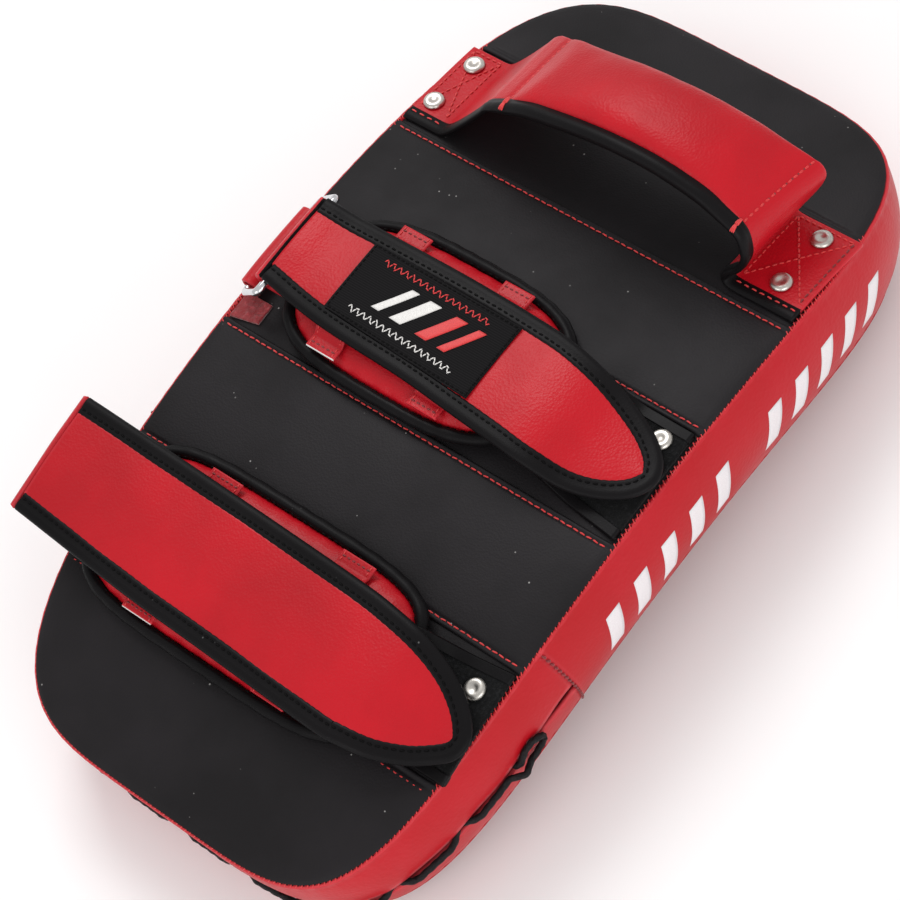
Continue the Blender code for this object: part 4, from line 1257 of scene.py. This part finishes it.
def moved_in(chain, i, inset):
    """Point i of a flap's edge, moved in square to the edge."""
    u, s = chain[i]
    a = chain[max(i - 1, 0)]
    b = chain[min(i + 1, len(chain) - 1)]
    tu = b[0] - a[0]
    ts = b[1] - a[1]
    size = math.hypot(tu, ts)
    return u - ts / size * inset, s + tu / size * inset


def flap_edges(edge, path, inset):
    """The flap's smooth outline, and its low and high edges moved in by inset."""
    start = path.points[0][0]
    outer = spline([(x - start, s) for x, s in edge], 1.2)
    moved = [moved_in(outer, i, inset) for i in range(len(outer))]
    tip = max(range(len(moved)), key=lambda i: moved[i][0])
    edges = []
    for chain in (moved[:tip + 1], moved[tip:][::-1]):
        kept = [chain[0]]
        for p in chain[1:]:
            if p[0] > kept[-1][0] + 1e-4:
                kept.append(p)
        edges.append(kept)
    return outer, edges[0], edges[1]


# Section of the tape folded round a flap's edge: distance in from the edge, and height above the middle.
FLAP_TAPE = ((BIND_W, 0.95), (BIND_W - 0.35, 1.35), (BIND_W - 1.3, 1.5), (BIND_W - 2.2, 1.32), (3.4, 1.7),
             (2.0, 1.72), (0.9, 1.4), (0.25, 0.8), (0.0, 0.0), (0.25, -0.7), (0.9, -1.15), (2.0, -1.35),
             (BIND_W - 1.4, -1.35), (BIND_W - 0.3, -1.1))


def flap(prefix, body, edge, path, seed):
    """Red middle of a closing flap, the tape folded round its edge and the tape's stitches."""
    outer, low, high = flap_edges(edge, path, BIND_W - 1.0)
    last = min(low[-1][0], high[-1][0])
    us = dense(0.0, last - 3.0, 2.2, 1.2, 10.0)
    us += [last - 3.0 * (1.0 - k / 12.0) ** 2.2 for k in range(1, 13)]

    def soft_lay(u, s, t):
        fade = min(1.0, u / 20.0)
        return path.lay(u, s, t + 0.28 * fade * ripple(u, s, 24.0, seed))

    field = strip(prefix + "_flap_leather", us, following(low), following(high), soft_lay,
                  STRAP_T, RED, across=22, crown=0.45, soft=0.1, seed=seed)
    keep(field, body, "red_leather", prefix + "_flap")
    rings = []
    line = []
    for i in range(len(outer)):
        gather = 0.1 * math.sin(i * 2.1)
        ring = []
        for inset, t in FLAP_TAPE:
            u, s = moved_in(outer, i, inset + (gather if inset > 5.0 else 0.0))
            ring.append(path.lay(max(u, 0.0), s, t))
        rings.append(ring)
        u, s = moved_in(outer, i, BIND_W - 2.2)
        u = max(u, 0.0)
        line.append((path.lay(u, s, 1.35), normal_of(path.lay, u, s)))
    keep(loft(prefix + "_flap_tape", rings, BINDING), body, "black_binding", prefix + "_flap_binding")
    sew(prefix + "_flap_tape_stitches", line, BLACK_THREAD, body, "lace_cord", pitch=3.0, fill=0.7, lift=0.05)


flap("upper", "upper_closure", UPPER_FLAP_EDGE, UPPER_FLAP, 11.0)
flap("lower", "lower_closure", LOWER_FLAP_EDGE, LOWER_FLAP, 12.0)
for prefix, body, path, hook in (("upper", "upper_closure", UPPER_FLAP, (-3.0, 20.0)),
                                 ("lower", "lower_closure", LOWER_FLAP, (-120.5, -97.5))):
    start = path.points[0][0]

    def under(u, s, t, path=path):
        return path.lay(u, s, t - STRAP_T / 2.0 - 0.75 + 0.1 * ripple(u, s, 1.5))

    patch = strip(prefix + "_hook_tape", steps(46.0 - start, 76.0 - start, 1.0), constant(hook[0]),
                  constant(hook[1]), under, 0.9, LOOP, across=20)
    keep(patch, body, "loop_pile", prefix + "_flap_hook_patch")

# ---------------------------------------------------------------- straps under the flaps


TAPE_OVER = 0.4
TAPE_IN = 4.6


def tape_edge(edge, inward, pick):
    """Low or high side (pick is min or max) of the tape bound over a strap's edge."""
    return lambda u: pick(edge(u) - TAPE_OVER * inward, edge(u) + TAPE_IN * inward)


def carrier(prefix, path, low_knots, high_knots, stop):
    """Loop-pile strap from the right seam, with a bound edge stitched in red."""
    low = following(low_knots)
    high = following(high_knots)
    us = (steps(0.0, min(34.0, stop), 0.9) + steps(34.0, stop - 16.0, 4.0)[1:]
          + steps(stop - 16.0, stop, 0.9)[1:])
    pile_sheet = strip(prefix + "_strap_pile", us, low, high, path.lay, STRAP_T, LOOP, across=60)
    for v in pile_sheet.data.vertices:
        v.co += Vector((0.0, 0.0, 0.16 * MM)) * noise.noise(v.co * 900.0)
    pieces = [(pile_sheet, (prefix + "_strap",), "loop_pile")]
    edge_us = steps(0.0, min(60.0, stop), 1.0)
    for n, (edge, inward) in enumerate(((low, 1.0), (high, -1.0))):
        tape = strip("%s_strap_tape_%d" % (prefix, n + 1), edge_us, tape_edge(edge, inward, min),
                     tape_edge(edge, inward, max), path.lay, STRAP_T + 1.0, BINDING, across=12, crown=0.25)
        pieces.append((tape, (), "black_binding"))
        line = []
        for u in steps(1.5, min(40.0, stop), 1.2):
            s = edge(u) + 3.2 * inward
            line.append((path.lay(u, s, STRAP_T / 2.0 + 0.6), normal_of(path.lay, u, s)))
        seam = stitches("%s_strap_tape_stitches_%d" % (prefix, n + 1), line, RED_THREAD, pitch=3.4, fill=0.66,
                        radius=0.38)
        pieces.append((seam, (), "red_leather"))
    for obj, nodes, slot in pieces:
        if nodes:
            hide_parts(*nodes)
        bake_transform(obj)


U = UPPER_CARRIER
fold = strip("upper_strap_fold_leather", steps(U.reach(-70.0), U.length - 0.4, 0.8), constant(-3.8),
             constant(36.9), U.lay, STRAP_T + 0.9, RED, across=30, crown=0.1, soft=0.2, seed=41.0)
keep(fold, "upper_cuff", "red_leather")
carrier("upper", U,
        [(0.0, -17.0), (U.reach(60.0), -12.5), (U.reach(0.0), -5.0), (U.length, -3.4)],
        [(0.0, 33.0), (U.reach(60.0), 33.6), (U.reach(0.0), 35.4), (U.length, 36.6)], U.length)
L = LOWER_CARRIER
carrier("lower", L, [(0.0, -125.6), (L.reach(60.0), -126.0), (L.length, -125.0)],
        [(0.0, -78.2), (L.reach(60.0), -82.8), (L.length, -83.0)], L.length)

TAB = Path([(-96.6, -1.0), (-97.5, 1.6)] + arc_knots(RING_OUTER, 3.4, 185.0, -5.0, 8)
           + [(-92.6, 2.2), (-94.2, -1.0)])
tab = strip("upper_ring_tab_leather", steps(0.0, TAB.length, 0.8), constant(-5.2), constant(33.6), TAB.lay,
            1.7, RED, across=24, crown=0.25, soft=0.2, seed=21.0)
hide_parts("upper_ring_tab")
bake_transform(tab)


def fleece(u, s, t):
    return bend(u, s, -0.6 + t + 0.25 * ripple(u, s, 2.2))


base = strip("upper_tab_base_fleece", steps(-97.6, -84.5, 0.5), lambda u: -17.8 + 0.2 * (u + 97.6),
             constant(-5.6), fleece, 1.6, FLEECE, across=40, soft=0.3)
keep(base, "pad", "red_cloth", "upper_tab_base")
root = strip("lower_strap_root_leather", steps(0.0, LOWER_ROOT.length, 0.9),
             lambda u: -125.0 - 2.0 * u / LOWER_ROOT.length, lambda u: -78.6 + 2.2 * u / LOWER_ROOT.length,
             LOWER_ROOT.lay, STRAP_T, RED, across=24, crown=0.2, soft=0.2, seed=31.0)
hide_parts("lower_strap_root")
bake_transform(root)

# ---------------------------------------------------------------- ring
ring_u = math.hypot(RING_INNER[0] - RING_OUTER[0], RING_INNER[1] - RING_OUTER[1])
ring_points = []
for u, s in even(oval(ring_u / 2.0, 16.1, ring_u / 2.0, 24.3, 12.0, 900), 150):
    k = u / ring_u
    ring_points.append(bend(RING_OUTER[0] + (RING_INNER[0] - RING_OUTER[0]) * k, s,
                            RING_OUTER[1] + (RING_INNER[1] - RING_OUTER[1]) * k))
wire = tube("upper_ring_wire", ring_points, 1.8, CHROME, closed=True, sides=18)
keep(wire, "upper_cuff", "chrome", "upper_ring")

# ---------------------------------------------------------------- label
label_start = UPPER_FLAP.points[0][0]
LABEL_LEFT = -53.0
LABEL_RIGHT = 22.2
LABEL_RUN = 75.0


def label_low(u):
    return -0.6 - 3.4 * (u + label_start - LABEL_LEFT) / LABEL_RUN


def label_high(u):
    return 31.4 - 1.2 * (u + label_start - LABEL_LEFT) / LABEL_RUN


def label_place(u, s, t):
    return UPPER_FLAP.lay(u, s, t + 2.0)


def label_row(u, f):
    """The place across the label at the fraction f of its width."""
    return label_low(u) + (label_high(u) - label_low(u)) * f


cloth = strip("upper_flap_label_cloth", steps(LABEL_LEFT - label_start, LABEL_RIGHT - label_start, 1.5),
              label_low, label_high, label_place, 0.7, LABEL, across=20)
keep(cloth, "upper_closure", "label_cloth", "upper_flap_label")
hem = []
for u0, u1, f in ((-52.0, 21.4, 0.03), (21.4, 21.4, None), (21.4, -52.0, 0.97), (-52.0, -52.0, None)):
    for k in range(41):
        u = u0 + (u1 - u0) * k / 40 - label_start
        g = f if f is not None else (0.03 + 0.94 * k / 40 if u0 > 0 else 0.97 - 0.94 * k / 40)
        s = label_row(u, g)
        hem.append((label_place(u, s, 0.4), normal_of(label_place, u, s)))
sew("label_hem_stitches", hem, BLACK_THREAD, "upper_closure", "lace_cord", pitch=2.4, radius=0.3, lift=0.0)


EMBROIDERY_LOW = 0.30
EMBROIDERY_HIGH = 0.72
EMBROIDERY_LEAN = 10.0
EMBROIDERY_ROWS = 16


def embroidered(name, x0, x1, mat):
    """A satin-stitch bar across the middle of the label, leaning along x."""
    span = EMBROIDERY_HIGH - EMBROIDERY_LOW
    us = steps(EMBROIDERY_LOW, EMBROIDERY_HIGH, span / EMBROIDERY_ROWS)

    def place(f, u, t):
        v = u + EMBROIDERY_LEAN * (f - EMBROIDERY_LOW) / span
        return label_place(v, label_row(v, f), t + 0.55 + 0.06 * math.sin(f * 700.0))

    bar = strip(name, us, constant(x0 - label_start), constant(x1 - label_start), place, 0.5, mat, across=8,
                crown=0.15)
    keep(bar, "upper_closure", "foam_white")


for name, x0, x1, mat in (("white_1", -36.0, -32.0, WHITE_THREAD), ("white_2", -26.5, -20.5, WHITE_THREAD),
                          ("red_1", -13.0, -7.0, RED_THREAD), ("red_2", -1.5, 2.5, RED_THREAD)):
    embroidered("label_bar_" + name, x0, x1, mat)
for name, f, mat in (("red", 0.85, RED_THREAD), ("white", 0.16, WHITE_THREAD)):
    line = []
    for k in range(240):
        u = -44.0 + 54.0 * k / 239 - label_start
        s = label_row(u, f) + 1.0 * math.sin(k * 0.42)
        line.append((label_place(u, s, 0.45), normal_of(label_place, u, s)))
    sew("label_wave_" + name, line, mat, "upper_closure", "foam_white", pitch=1.5, fill=1.1, radius=0.28,
        lift=0.0)

# ---------------------------------------------------------------- lace that closes the end wall
LACE_START = 40.0
LACE_PITCH = 33.0
LACE_RUNS = 9
OUTSIDE = LACE_R + 0.4
INSIDE = -LACE_R - LEATHER - 0.6
lace_run = end_run[::-1]
lace_reach = run_of([OUTLINE[i] for i in lace_run])


def on_end_wall(distance, offset, rise):
    """A point on the end wall, measured from the right seam round to the left one."""
    j = next((k for k in range(len(lace_reach) - 1) if lace_reach[k + 1] >= distance), len(lace_reach) - 2)
    k = (distance - lace_reach[j]) / (lace_reach[j + 1] - lace_reach[j])
    a, b = lace_run[j], lace_run[j + 1]
    x = OUTLINE[a][0] + (OUTLINE[b][0] - OUTLINE[a][0]) * k
    s = OUTLINE[a][1] + (OUTLINE[b][1] - OUTLINE[a][1]) * k
    nx, ns = NORMALS[a]
    o = wall_bulge(SLIT_H + rise, s) + offset
    return bend(x + nx * o, s + ns * o, SLIT_H + rise)


route = [(LACE_START - 4.0, INSIDE, 0.0), (LACE_START - 2.0, -0.6, 0.0), (LACE_START - 4.0, OUTSIDE, 1.2),
         (LACE_START - 8.0, OUTSIDE, 4.0), (LACE_START - 13.0, OUTSIDE, 4.4),
         (LACE_START - 17.0, OUTSIDE, 1.6), (LACE_START - 17.0, OUTSIDE, -1.8),
         (LACE_START - 13.0, OUTSIDE, -4.2), (LACE_START - 7.0, OUTSIDE + 0.6, -3.8),
         (LACE_START - 2.0, OUTSIDE + 3.0, -1.6)]
for number in range(LACE_RUNS):
    first = LACE_START + number * LACE_PITCH
    if number:
        route.append((first - 1.5, -0.8, 0.0))
    for part in (3.0, 9.0, 15.0, 21.0):
        route.append((first + part, OUTSIDE, 0.0))
    route.append((first + 25.5, -0.8, 0.0))
    route.append((first + 28.5, INSIDE, 0.0))
knots = [on_end_wall(*p) for p in route]
fine = []
for i in range(len(knots) - 1):
    p0, p1, p2, p3 = knots[max(i - 1, 0)], knots[i], knots[i + 1], knots[min(i + 2, len(knots) - 1)]
    fine += [curve_point(p1, p2, p0, p3, j / 5) for j in range(5)]
fine.append(knots[-1])


def braid_shape(a, i):
    return 1.0 + 0.1 * math.cos(3.0 * (a - i * 0.55))


lace = tube("closing_lace_cord", fine, LACE_R, LACE, sides=18, shape=braid_shape)
keep(lace, "pad", "lace_cord", "closing_lace")

# ---------------------------------------------------------------- camera, floor and light
scene = bpy.context.scene
camera_data = bpy.data.cameras.new("camera")
camera_data.lens = 131.26
camera_data.sensor_width = 36.0
camera = bpy.data.objects.new("camera", camera_data)
camera.location = (0.64040, -0.29448, 1.10339)
camera.rotation_euler = [math.radians(v) for v in (29.2875, 16.5090, 39.0382)]
scene.collection.objects.link(camera)
scene.camera = camera

floor_finish = Finish("studio_floor", (0.93, 0.93, 0.93), 0.9)
floor_finish.tint(floor_finish.ramp(floor_finish.noise(3.0), 0.3, 0.7), (0.92, 0.92, 0.92))
bm = bmesh.new()
bmesh.ops.create_grid(bm, x_segments=2, y_segments=2, size=6.0)
floor_mesh = bpy.data.meshes.new("floor")
bm.to_mesh(floor_mesh)
bm.free()
floor_mesh.materials.append(floor_finish.mat)
floor = bpy.data.objects.new("floor", floor_mesh)
floor.location = (0.0, 0.0, -0.0005)
scene.collection.objects.link(floor)

world = bpy.data.worlds.new("studio")
world.use_nodes = True
world.node_tree.nodes["Background"].inputs["Color"].default_value = (1.0, 1.0, 1.0, 1.0)
world.node_tree.nodes["Background"].inputs["Strength"].default_value = 0.72
scene.world = world
scene.view_settings.view_transform = "Standard"


def softbox(name, place, aim, size, power):
    data = bpy.data.lights.new(name, "AREA")
    data.shape = "RECTANGLE"
    data.size = size[0]
    data.size_y = size[1]
    data.energy = power
    lamp = bpy.data.objects.new(name, data)
    lamp.location = place
    lamp.rotation_euler = (Vector(aim) - Vector(place)).to_track_quat("-Z", "Y").to_euler()
    scene.collection.objects.link(lamp)


softbox("key", (-0.8, 0.7, 1.5), (0.0, 0.0, 0.05), (0.8, 0.8), 13.0)
softbox("fill", (1.4, -0.5, 0.7), (0.05, 0.0, 0.05), (1.0, 0.7), 7.0)
softbox("front", (0.1, -1.5, 0.9), (0.0, -0.05, 0.05), (1.0, 0.7), 5.0)
